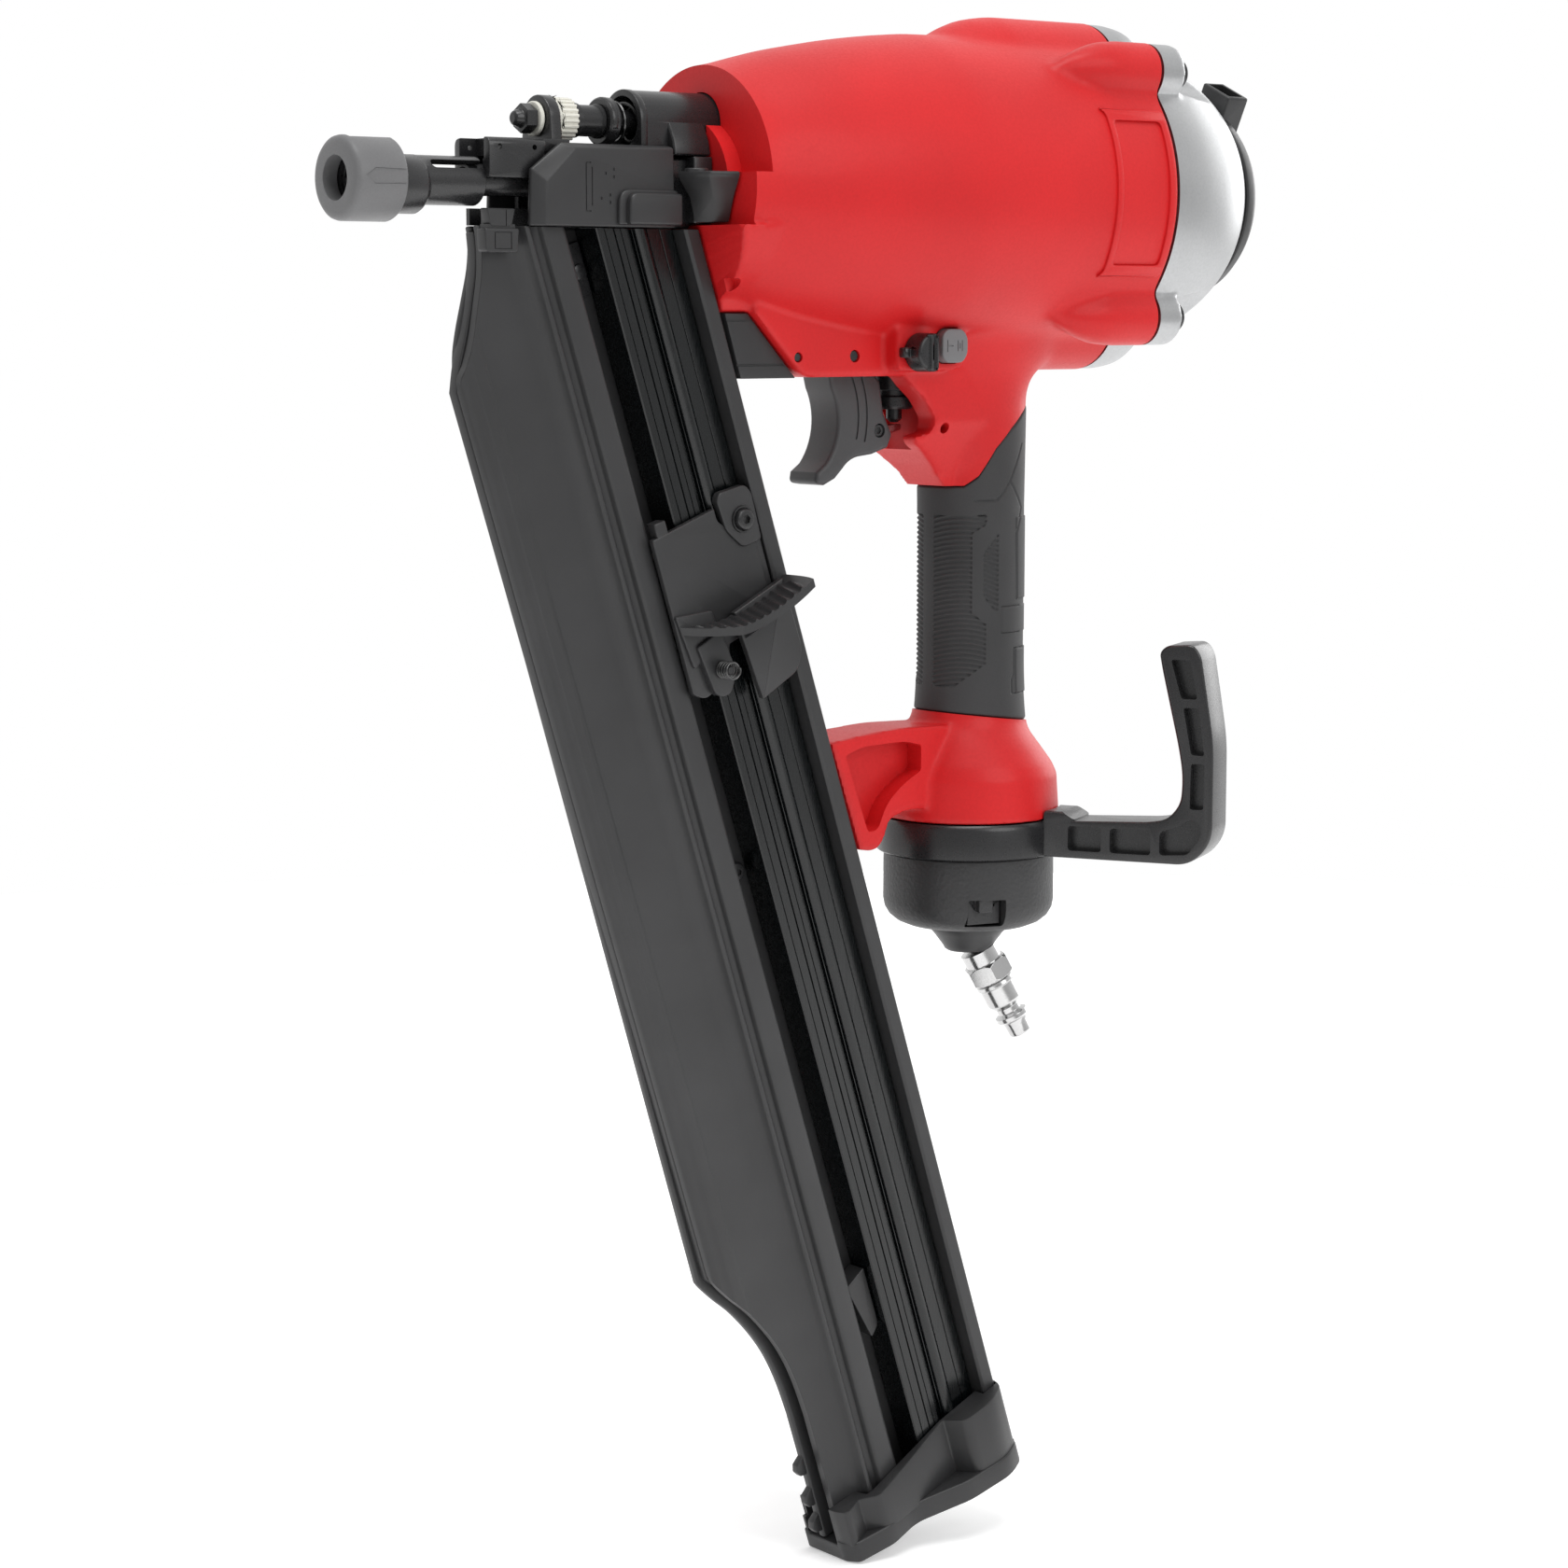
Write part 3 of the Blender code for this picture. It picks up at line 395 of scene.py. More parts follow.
def carve(base, add=(), cut=(), common=()):
    """Join closed meshes to a first one, cut others out of it, and keep what lies in the last."""
    thing = temporary(base)
    others = []
    for operation, meshes in (("UNION", add), ("DIFFERENCE", cut), ("INTERSECT", common)):
        for mesh in meshes:
            other = temporary(mesh)
            modifier = thing.modifiers.new(operation, "BOOLEAN")
            modifier.operation = operation
            modifier.solver = "EXACT"
            modifier.object = other
            others.append(other)
    return evaluated(thing, others)


def softened(mesh, width, segments=3, angle=30):
    """Bevel a closed mesh's sharp edges."""
    thing = temporary(mesh)
    modifier = thing.modifiers.new("bevel", "BEVEL")
    modifier.width = width
    modifier.segments = segments
    modifier.limit_method = "ANGLE"
    modifier.angle_limit = math.radians(angle)
    modifier.use_clamp_overlap = False
    return evaluated(thing)


def cast(meshes, voxel, rounds):
    """Melt overlapping closed meshes into one skin with soft fillets."""
    thing = temporary(joined(meshes))
    remesh = thing.modifiers.new("remesh", "REMESH")
    remesh.mode = "VOXEL"
    remesh.voxel_size = voxel
    smooth = thing.modifiers.new("smooth", "SMOOTH")
    smooth.factor = 0.5
    smooth.iterations = rounds
    return evaluated(thing)


# ---------------------------------------------------------------- pieces
def piece(name, mesh, finish, body="frame", nodes=(), matrix=TOOL, bevel=0.0, segments=2,
          sharp=32):
    """A finished piece: its mesh placed in the shared frame, its edges eased, its body set."""
    bmesh.ops.transform(mesh, matrix=matrix, verts=mesh.verts)
    data = bpy.data.meshes.new(name)
    mesh.to_mesh(data)
    mesh.free()
    thing = bpy.data.objects.new(name, data)
    bpy.context.scene.collection.objects.link(thing)
    data.materials.append(FINISHES[finish])
    data.shade_smooth()
    if bevel:
        modifier = thing.modifiers.new("eased edges", "BEVEL")
        modifier.width = bevel * MM
        modifier.segments = segments
        modifier.limit_method = "ANGLE"
        modifier.angle_limit = math.radians(sharp)
        modifier.use_clamp_overlap = False
        modifier.harden_normals = True
    else:
        data.set_sharp_from_angle(angle=math.radians(sharp))
    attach(thing, body)
    if nodes:
        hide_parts(*nodes)
    return thing


def keep(node, finish):
    """A CAD node that stays as it is, with a better material."""
    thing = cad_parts[node]
    thing.data.materials.clear()
    thing.data.materials.append(FINISHES[finish])


def ellipse_ring(z, centre_x, half_x, half_y, tilt=0.0, count=72):
    """A level ellipse whose height rises by tilt for each millimetre of X."""
    ring = []
    for i in range(count):
        angle = math.tau * i / count
        x = half_x * math.cos(angle)
        ring.append((centre_x + x, half_y * math.sin(angle), z + tilt * x))
    return ring


def side_prism(points, low, high):
    """A slab in the magazine frame from (q, s) points, between two values of Y."""
    return prism([(q, -s) for q, s in points], "Y", low, high)


def bar_down(q_low, q_high, y_low, y_high, s_low, s_high):
    """A box in the magazine frame."""
    return block((q_low, y_low, -s_high), (q_high, y_high, -s_low))


def mirrored(mesh):
    """The same mesh on the other side of the tool."""
    moved(mesh, Matrix.Scale(-1, 4, (0, 1, 0)))
    bmesh.ops.reverse_faces(mesh, faces=mesh.faces)
    return mesh


def oval(mesh):
    """The same mesh, drawn in a little from the sides."""
    return moved(mesh, Matrix.Scale(OVAL, 4, (0, 1, 0)))


def lobes(stations):
    """The lobes over and under the barrel, from (x, radius) stations."""
    made = []
    for level in (1, -1):
        circle = AXIS_Z + level * LOBE_Z
        made.append(loft([[(x, y, z) for y, z in arc(0, circle, radius, 0, 354, 60)]
                          for x, radius in stations]))
    return made


def slabs(pairs):
    """A box for each pair of opposite corners."""
    return [block(low, high) for low, high in pairs]


def lug_places():
    """Centres of the four cap screws, as (y, z)."""
    return [(side * LUG_Y, AXIS_Z + level * LUG_Z) for side in (-1, 1) for level in (1, -1)]


# ---------------------------------------------------------------- casting
GRIP_TOP = [(205, -93.2), (232.5, -93.2), (236.5, -90), (242.3, -81), (249, -74.6), (255.4, -70),
            (262, -66.5), (280, -62)]


def soft_body():
    """The barrel with its lobes and lugs, and the neck, melted together."""
    outline = smooth_line([(110, 33.2), (127, 36.4), (136.4, 38.0), (145, 40.1), (156.5, 42.8),
                           (168, 44.9), (185, 47.6), (205, 49.8), (225, 50.6), (312, 50.6)], 5)
    parts = [oval(turned([(110, 0)] + outline + [(312, 0)], AXIS, steps=96))]
    parts += lobes(((221, 9.0), (226, 12.5), (232, 16.0), (240, 18.8), (250, 20.2), (312, 20.2)))
    for y, z in lug_places():
        profile = [(0, 0), (0, 1), (6, 4.4), (12, 7.0), (19, 9.0), (26, 9.5), (60, 9.5), (60, 0)]
        parts.append(turned(profile, (252, y, z), steps=40))
    parts.append(loft([
        ellipse_ring(-30, 243, 47, 26), ellipse_ring(-42, 243, 43, 22.5),
        ellipse_ring(-50, 243, 37.5, 20), ellipse_ring(-57, 242, 31.5, 18.2, 0.08),
        ellipse_ring(-64, 242.5, 26, 17.4, 0.28), ellipse_ring(-72, 244, 21.6, 16.9, 0.48),
        ellipse_ring(-81, HANDLE_X, 19.2, 16.7, 0.58),
        ellipse_ring(-100, HANDLE_X, 19.0, 16.6, 0.3)]))
    return cast(parts, 1.5, 12)


def lower_collar():
    """The side plates under the nose, whose front edge follows the magazine."""
    outline = arc(0, AXIS_Z, 37.2, 198.9, 246, 16) + [(-13, -37), (13, -37)]
    outline += arc(0, AXIS_Z, 37.2, 294, 341.1, 16)
    front = [((MAG_REAR + 0.7 - z * math.sin(LEAN)) / math.cos(LEAN), y, z) for y, z in outline]
    return loft([front, [(150.0, y, z) for y, z in outline]])


def base_flare():
    """The foot of the grip, spreading to the round base."""
    rings = [ellipse_ring(-167, HANDLE_X, 19.8, 17.4, -0.13),
             ellipse_ring(-171.5, HANDLE_X, 20.2, 17.9, -0.13),
             ellipse_ring(-174.5, HANDLE_X, 21.2, 19.4, -0.11),
             ellipse_ring(-180, HANDLE_X, 24.4, 23.6, -0.06),
             ellipse_ring(-186, HANDLE_X, 28.0, 27.6, -0.02),
             ellipse_ring(-190, HANDLE_X, 29.5, 29.3), ellipse_ring(-204, HANDLE_X, 30.3, 30.3),
             ellipse_ring(-204, HANDLE_X, 24, 24), ellipse_ring(-216, HANDLE_X, 24, 24)]
    return loft(rings)


def bracket_outline():
    """The arm from the base to the magazine, as (x, z)."""
    return [(228, -172), (208, -171.4), (192, -172.4), (176.6, -174.2), (188.9, -210),
            (195.5, -211.2), (199.5, -207.5), (201.5, -201), (210, -198.7), (228, -198.7)]


def crisp_body():
    """The parts of the casting whose edges stay tighter."""
    keel = prism(rounded([(141, -20), (141, -37), (160.5, -57), (230, -57), (230, -20)],
                         [0, 0, 3, 3, 0]), "Y", -17, 17)
    boss = prism(rounded([(193, -34), (193, -55.2), (222, -55.2), (222, -34)], [0, 2.5, 6, 0]),
                 "Y", KNOB.y + 0.3, -8)
    bracket = prism(rounded(bracket_outline(), [0, 4, 4, 0.5, 0.5, 2.5, 2.5, 3, 3, 0]),
                    "Y", -11, 11)
    core = loft([ellipse_ring(-60, HANDLE_X, 14.5, 12), ellipse_ring(-185, HANDLE_X, 14.5, 12)])
    neck = [(200, -54), (205.5, -60), (211, -64.5), (215.5, -70.5), (215, -75.2), (208.5, -76.6),
            (209.5, -79), (214, -82), (219, -86), (223, -90), (226.5, -94), (238, -96), (238, -54)]
    taper = prism([(-16.8, -50), (-16.8, -72), (-9.6, -90), (-9.6, -99), (9.6, -99), (9.6, -90),
                   (16.8, -72), (16.8, -50)], "X", 190, 245)
    cheeks = carve(prism(neck, "Y", -18, 18), common=[taper])
    return [keel, boss, bracket, core, cheeks, base_flare(), lower_collar()]


def casting_cutters():
    """Everything that is bored or machined out of the casting, as one closed mesh."""
    bore = turned([(150, 0), (150, 35.5), (160, 39.5), (185, 43.6), (212, 46), (295, 46),
                   (295, 0)], AXIS, steps=48)
    nose_hole = rod((90, 0, AXIS_Z), 70, 9.7, steps=40)
    trip = prism(arc(0, TRIP_Z, 10.1, 0, 180, 25) + [(-10.1, 10.6), (10.1, 10.6)], "X", 90, 142.6)
    nose_front = block((90, -60, -10.45), (127, 60, 60))
    slant = prism([(85, -10.2), (121.8, -10.2), (138.2, -61), (85, -61)], "Y", -63, 63)
    collar = turned([(60, 0), (60, 21), (136, 21), (136, 0)], AXIS, steps=96)
    step = carve(block((84, -64.5, 5.4), (132.6, 64.5, 78)), cut=[collar])
    seam = block((SEAM_X, -70, -70), (330, 70, 80))
    screw_holes = [rod((268, y, z), 30, 3.05, steps=20) for y, z in lug_places()]
    slot = prism(rounded([(160, -70), (172, -62), (172, -47), (219.4, -47), (219.4, -68),
                          (212, -82), (206, -100), (160, -100)], [0, 2, 2, 2, 6, 3, 0, 0]),
                 "Y", -8.3, 8.3)
    pin_holes = [rod((x, -30, z), 60, r, (0, 1, 0), 24)
                 for x, z, r in ((*PIVOT, 2.0), (*KEEL_PIN, 1.6))]
    side_hole = rod((220, -22, -74), 14, 1.8, (0, 1, 0), 24)
    shaft_hole = rod((KNOB.x, KNOB.y - 6, KNOB.z), 12, 3.4, (0, 1, 0), 32)
    button_pocket = prism(rounded(button_outline(0.35), 1.2), "Y", BUTTON.y - 12, BUTTON.y + 3.4)
    guard_seat = prism([(125.6, -36.8), (140.5, -36.8), (160.3, -57.8), (161.2, -71.3),
                        (125.6, -71.3)], "Y", -14.3, 14.3)
    web = prism(rounded([(182.5, -178.6), (190, -176.2), (208, -175.8), (215, -177.5),
                         (215, -186), (207, -190), (200, -196), (196.5, -204), (192.2, -204.5)],
                        [1.5, 3, 4, 1, 1, 4, 4, 2, 1.5]), "Y", -14, -4)
    web_far = mirrored(web.copy())
    sleeve = carve(prism(GRIP_TOP + [(280, -174.9), (205, -165.2)], "Y", -40, 40),
                   cut=[loft([ellipse_ring(-50, HANDLE_X, 14.5, 12),
                              ellipse_ring(-190, HANDLE_X, 14.5, 12)])])
    air_way = turned([(-219, 0), (-219, 18), (-187, 18), (-187, 10.5), (-60, 10.5), (-60, 0)],
                     (HANDLE_X, 0, 0), (0, 0, 1), 32)
    dimple = rod((126.8, -33, -29.6), 14.5, 2.3, (0.12, 1, 0.1), 32)
    pockets = [bore, nose_hole, trip, step, nose_front, slant, slot, side_hole, shaft_hole,
               button_pocket, guard_seat, web, web_far, sleeve, air_way, dimple]
    return carve(seam, add=pockets + screw_holes + pin_holes)


def label_frame():
    """The raised border on the near side, with small ears at its front corners."""
    outer = rounded([(262.5, -25.4), (264.6, -23.6), (264.6, 26.8), (262.5, 28.6), (291, 28.6),
                     (291, -25.4)], [0.8, 1.5, 1.5, 0.8, 3, 3])
    inner = rounded([(267, -21.6), (267, 24.8), (288.2, 24.8), (288.2, -21.6)], 1.8)
    ring = carve(prism(outer, "Y", -60, -36), cut=[prism(inner, "Y", -64, -30)])
    shell = oval(turned([(255, 0), (255, 51.5), (291.4, 51.5), (291.4, 0)], AXIS, steps=96))
    return softened(carve(ring, common=[shell]), 0.35, 2)


def button_outline(grow=0.0):
    """The mode button from the side, as (x, z)."""
    corners = [(-5.2, -3.4), (-3.2, -5.4), (3.4, -5.4), (5.6, -2.6), (5.6, 2.8), (3.4, 5.4),
               (-3.2, 5.4), (-5.2, 3.4)]
    scale = 1 + grow / 5.0
    return [(BUTTON.x + a * scale, BUTTON.z + b * scale) for a, b in corners]


def build_housing():
    skin = cast([soft_body()] + crisp_body(), 0.95, 3)
    skin = carve(skin, cut=[casting_cutters()])
    piece("casting", skin, "red_enamel", nodes=["housing"], sharp=38)
    piece("label_border", label_frame(), "red_enamel", sharp=50)


def build_grip():
    """The rubber sleeve: a fine grid pressed in by its grooves and panel lines."""
    columns = 300
    rows = 400
    lines = [([(-124, -98.2), (-99, -98.2), (-90, -95.4), (-82, -92), (-58, -101)], 0.45),
             ([(-58, -101), (-70, -109), (-69, -131)], 0.45),
             ([(-82, -92), (-60, -80)], 0.45),
             ([(-92, -133.4), (-62, -133.4)], 0.35), ([(-92, -142), (-62, -142)], 0.35),
             ([(-73, -147.5), (-73, -156), (-77, -158), (-77, -162.5), (-50, -162.5)], 0.4),
             ([(-73, -147.5), (-50, -147.5)], 0.4)]

    def line_depth(angle, z):
        depth = 0.0
        here = Vector((angle * 0.31, z))
        for points, width in lines:
            for a, b in zip(points, points[1:]):
                start = Vector((a[0] * 0.31, a[1]))
                end = Vector((b[0] * 0.31, b[1]))
                along = end - start
                share = min(max((here - start).dot(along) / along.length_squared, 0), 1)
                gap = (here - start - along * share).length
                depth = max(depth, 0.4 * max(0.0, 1 - (gap / width) ** 2))
        return depth

    def in_first_patch(angle, z):
        if not (-159.5 < z < -103 and 108 < angle < 171):
            return False
        limit = 111.0
        if -135 < z < -109:
            limit = 127.0
        elif -109 <= z < -106:
            limit = 111 + (-106 - z) * 5.3
        elif -139 < z <= -135:
            limit = 127 - (-135 - z) * 4.0
        elif z <= -152:
            limit = 111 + (-152 - z) * 4.6
        return angle > limit

    def in_second_patch(angle, z):
        if not 97 < angle < 114:
            return False
        return -135.5 + (angle - 97) * 0.35 < z < -109.3 - (angle - 97) * 0.36

    def groove(angle, z):
        if not (in_first_patch(angle, z) or in_second_patch(angle, z)):
            return 0.0
        bent = z + 0.0016 * (angle - 140) ** 2
        wave = 0.5 + 0.5 * math.cos(math.tau * bent / 1.62)
        return 0.6 * wave ** 0.8

    def raised(angle, z):
        if angle < 70 and (-131 < z < -104 or -162.5 < z < -147.5):
            return 0.35
        if angle < 92 and -142 < z < -133.4:
            return 0.25
        return 0.0

    def edge_height(x):
        points = [(p - HANDLE_X, q - 0.35) for p, q in GRIP_TOP]
        for (x0, z0), (x1, z1) in zip(points, points[1:]):
            if x0 <= x <= x1:
                return z0 + (z1 - z0) * (x - x0) / (x1 - x0)
        return points[0][1]

    rings = []
    for j in range(rows + 1):
        share = j / rows
        ring = []
        for i in range(columns):
            turn = math.tau * i / columns
            degrees = abs((math.degrees(turn) + 180) % 360 - 180)
            x = GRIP_X * math.cos(turn)
            high = edge_height(x)
            low = GRIP_FOOT + GRIP_FALL * x
            z = high + (low - high) * share
            swell = max(0.0, (-z - 150) / 20.0) ** 2 if z < -150 else 0.0
            top_swell = max(0.0, (z + 100) / 30.0) if z > -100 else 0.0
            grow = 0.9 * swell + 0.4 * top_swell
            inward = groove(degrees, z) + line_depth(-degrees, z) - raised(degrees, z)
            lip = 0.6 * max(0.0, 1 - min(share, 1 - share) * 90) ** 2
            scale = grow - inward - lip
            ring.append((HANDLE_X + (GRIP_X + scale) * math.cos(turn),
                         (GRIP_Y + scale) * math.sin(turn), z))
        rings.append(ring)
    inside = []
    for share in (1.0, 0.0):
        ring = []
        for i in range(columns):
            turn = math.tau * i / columns
            x = 14.8 * math.cos(turn)
            high = edge_height(x * GRIP_X / 14.8)
            low = GRIP_FOOT + GRIP_FALL * x
            ring.append((HANDLE_X + x, 12.3 * math.sin(turn), high + (low - high) * share))
        inside.append(ring)
    piece("grip", loft(rings + inside, closed=True), "grip_rubber", nodes=["grip_sleeve"],
          sharp=50)


# ---------------------------------------------------------------- cap end
def build_cap():
    """The cast cap with its four bolted corners."""
    outline = smooth_line([(285, 50.5), (295, 50.5), (303, 50.0), (311, 48.8), (320, 46.4),
                           (328, 43.0), (335, 38.8), (341, 33.6)], 5)
    dome = oval(turned([(285, 0)] + outline + [(341, 0)], AXIS, steps=96))
    bosses = [rod((285, y, z), 19.0, 9.3, steps=40) for y, z in lug_places()]
    rounds = lobes(((285, 20.0), (300, 19.9), (306, 18.9), (311, 16.0), (315, 9.0)))
    body = cast([dome] + bosses + rounds, 1.1, 5)
    scoops = []
    for y, z in lug_places():
        scoops.append(turned([(304, 0), (304, 7.4), (312, 8.6), (322, 9.6), (345, 12), (345, 0)],
                             (0, y * 1.03, AXIS_Z + (z - AXIS_Z) * 1.03), steps=40))
    body = cast([carve(body, cut=scoops)], 0.9, 4)
    hollow = turned([(280, 0), (280, 60), (293.3, 60), (293.3, 44), (318, 42), (328, 36),
                     (333, 26), (333, 8), (345, 8), (345, 0)], AXIS, steps=64)
    holes = [rod((280, y, z), 40, 3.0, steps=20) for y, z in lug_places()]
    seats = []
    for y, z in lug_places():
        seats.append(turned([(303.4, 0), (303.4, 5.6), (320, 5.6), (320, 0)], (0, y, z), steps=28))
    slab = block((270, -70, -70), (293.3, 70, 80))
    body = carve(body, cut=[carve(slab, add=[hollow] + holes + seats)])
    piece("cap", body, "cast_aluminium", nodes=["cylinder_cap"], sharp=38)
    for number, (y, z) in enumerate(lug_places(), 1):
        head = turned([(276, 0), (276, 2.6), (303.7, 2.6), (303.7, 4.6), (304.2, 4.9),
                       (308.6, 4.9), (309.3, 4.3), (309.3, 0)], (0, y, z), steps=40)
        socket = rod((306, y, z), 10, 2.3, steps=6)
        piece(f"cap_bolt_{number}", carve(head, cut=[socket]), "black_steel",
              nodes=[f"cap_screw_{number}"], bevel=0.2)


def build_deflector():
    """The exhaust disc with its square duct."""
    axis = (341.3, 0, AXIS_Z)
    disc = turned([(0, 0), (0, 32.9), (0.5, 33.4), (3.4, 33.0), (6.2, 31.0), (8.2, 28.2),
                   (9.4, 25.0), (9.6, 22), (8.6, 20.5), (8.6, 9), (9.6, 7.6), (9.6, 0)],
                  axis, steps=96)
    place = Matrix.Translation(AXIS) @ Matrix.Rotation(DUCT_ANGLE, 4, "X")
    duct = softened(block((342.0, -6.8, 14), (351.6, 6.8, 40.5)), 0.8, 3)
    way = softened(block((343.3, -5.3, 8), (349.9, 5.3, 50)), 0.5, 2)
    inlet = turned([(340, 0), (340, 12), (346, 12), (346, 2.6), (356, 2.6), (356, 0)],
                   AXIS, steps=48)
    body = carve(disc, add=[moved(duct, place)], cut=[moved(way, place), inlet])
    piece("deflector", body, "black_polymer", body="deflector", nodes=["exhaust_deflector"],
          bevel=0.15)
    screw = turned([(345, 0), (345, 2.2), (351.4, 2.2), (351.4, 4.5), (352.2, 4.4), (353, 3.6),
                    (353, 0)], AXIS, steps=40)
    piece("deflector_bolt", carve(screw, cut=[rod((351.2, 0, AXIS_Z), 5, 2.0, steps=6)]),
          "black_steel", nodes=["deflector_screw"], bevel=0.15)


# ---------------------------------------------------------------- trigger and controls
def build_trigger():
    """The trigger with its pins, its link and the valve behind it."""
    outline = ([(176.8, -48.8), (186, -48.8), (194, -52.5), (200.2, -59), (201.8, -69),
                (205.6, -76), (203.5, -80.2), (197, -82.2)] + arc(193, -93.5, 10.8, 92, 140, 7)
               + [(181.5, -89.6), (177, -91.6), (173.2, -91.0), (173.8, -87.4)]
               + arc(161, -71, 21.5, -40, 28, 14))
    lever = softened(prism(outline, "Y", -7.4, 7.4), 1.5, 5, 50)
    slot = block((186, -3.2, -79), (215, 3.2, -52))
    pin_hole = rod((PIVOT[0], -18, PIVOT[1]), 36, 2.0, (0, 1, 0), 32)
    cuts = [slot, pin_hole]
    for side in (-1, 1):
        cuts.append(rod((199.6, side * 6.6 - 2, -74.6), 4, 2.3, (0, 1, 0), 32))
        for radius in (30.0, 33.6):
            band = arc(161, -70, radius, -14, 28, 10) + arc(161, -70, radius - 0.8, 28, -14, 10)
            cuts.append(prism(band, "Y", side * 7.4 - 0.45, side * 7.4 + 0.45))
    piece("trigger_lever", carve(lever, cut=cuts), "grey_polymer", body="trigger",
          nodes=["trigger"], sharp=35)
    pin = carve(rod((199.6, -6.9, -74.6), 13.8, 1.9, (0, 1, 0), 32),
                cut=[rod((199.6, -7.4, -74.6), 1.2, 1.1, (0, 1, 0), 6)])
    piece("trigger_roll_pin", pin, "black_steel", body="trigger", bevel=0.15)
    pivot = rod((PIVOT[0], -16.4, PIVOT[1]), 32.8, 1.7, (0, 1, 0), 32)
    piece("trigger_pivot", pivot, "black_steel", nodes=["trigger_pin"], bevel=0.2)
    piece("valve_cross_pin", rod((220, -11.8, -74), 4, 1.5, (0, 1, 0), 24), "black_steel",
          nodes=["valve_pin"], bevel=0.2)
    keel_pin = rod((KEEL_PIN[0], -16.4, KEEL_PIN[1]), 32.8, 1.3, (0, 1, 0), 32)
    piece("keel_pin", keel_pin, "black_steel", bevel=0.2)
    arm = prism(rounded([(190, -74), (192, -77.6), (204, -77), (213, -74.6), (213, -72.8)], 0.8),
                "Y", -2.6, 2.6)
    piece("trigger_link", arm, "steel", body="trigger", nodes=["trigger_arm"], bevel=0.25)
    body = turned([(-68, 3.0), (-68, 5.6), (-67.2, 6.2), (-64, 6.2), (-63.6, 5.5), (-62, 5.5),
                   (-61.6, 6.8), (-48.3, 6.8), (-48.3, 3.0)], (212, 0, 0), (0, 0, 1), 56)
    piece("valve_body", body, "glossy_polymer", nodes=["trigger_valve_body"], bevel=0.15)


def build_controls():
    """The selector knob and the mode button."""
    knob = turned([(-5.3, 0), (-5.3, 3.0), (0, 3.0), (0, 6.2), (6.6, 6.1), (7.2, 5.7), (7.4, 5.0),
                   (7.4, 0)], KNOB, NEARWARD, 64)
    flat = block((KNOB.x + 2.0, -50, KNOB.z - 9), (KNOB.x + 9, KNOB.y - 1.5, KNOB.z + 9))
    grooves = [block((KNOB.x + left, -34, KNOB.z - 9), (KNOB.x + right, KNOB.y - 6.9, KNOB.z + 9))
               for left, right in ((-2.4, -1.4), (0.1, 0.9))]
    tab = softened(block((KNOB.x - 8.6, KNOB.y - 2.9, KNOB.z - 1.6),
                         (KNOB.x - 4.6, KNOB.y, KNOB.z + 1.6)), 0.4, 2)
    piece("selector", carve(knob, add=[tab], cut=[flat] + grooves), "glossy_polymer",
          body="selector", nodes=["selector_knob"], bevel=0.3)
    outline = rounded(button_outline(), 1.6)
    cap = softened(prism(outline, "Y", BUTTON.y - 3.4, BUTTON.y + 0.6), 0.5, 3, 50)
    face = BUTTON.y - 3.4
    marks = [block((BUTTON.x + left, face - 1, BUTTON.z - half),
                   (BUTTON.x + right, face + 0.25, BUTTON.z + half))
             for left, right, half in ((-3.4, -3.0, 1.9), (-2.8, -0.8, 0.2), (1.0, 1.4, 1.7),
                                       (1.9, 2.3, 0.9), (2.8, 3.2, 1.7))]
    piece("fire_mode_button", carve(cap, cut=marks), "button_polymer", body="mode_button",
          nodes=["mode_button"])


# ---------------------------------------------------------------- nose
def cover_plate():
    """The near cover: a plate whose front and sloping edges are chamfered."""
    full = [(60, -11.3), (60.6, 5.2), (71.5, 13.2), (111.8, 13.2), (112.2, -11.3)]
    face = [(64.2, -11.3), (64.6, 1.8), (75.0, 11.6), (111.6, 12.4), (112.0, -11.3)]
    rings = []
    for outline, y in ((full, -10.0), (full, -11.6), (face, -14.0)):
        rings.append([(x, y, z) for x, z in outline])
    return softened(loft(rings), 0.5, 3, 20)


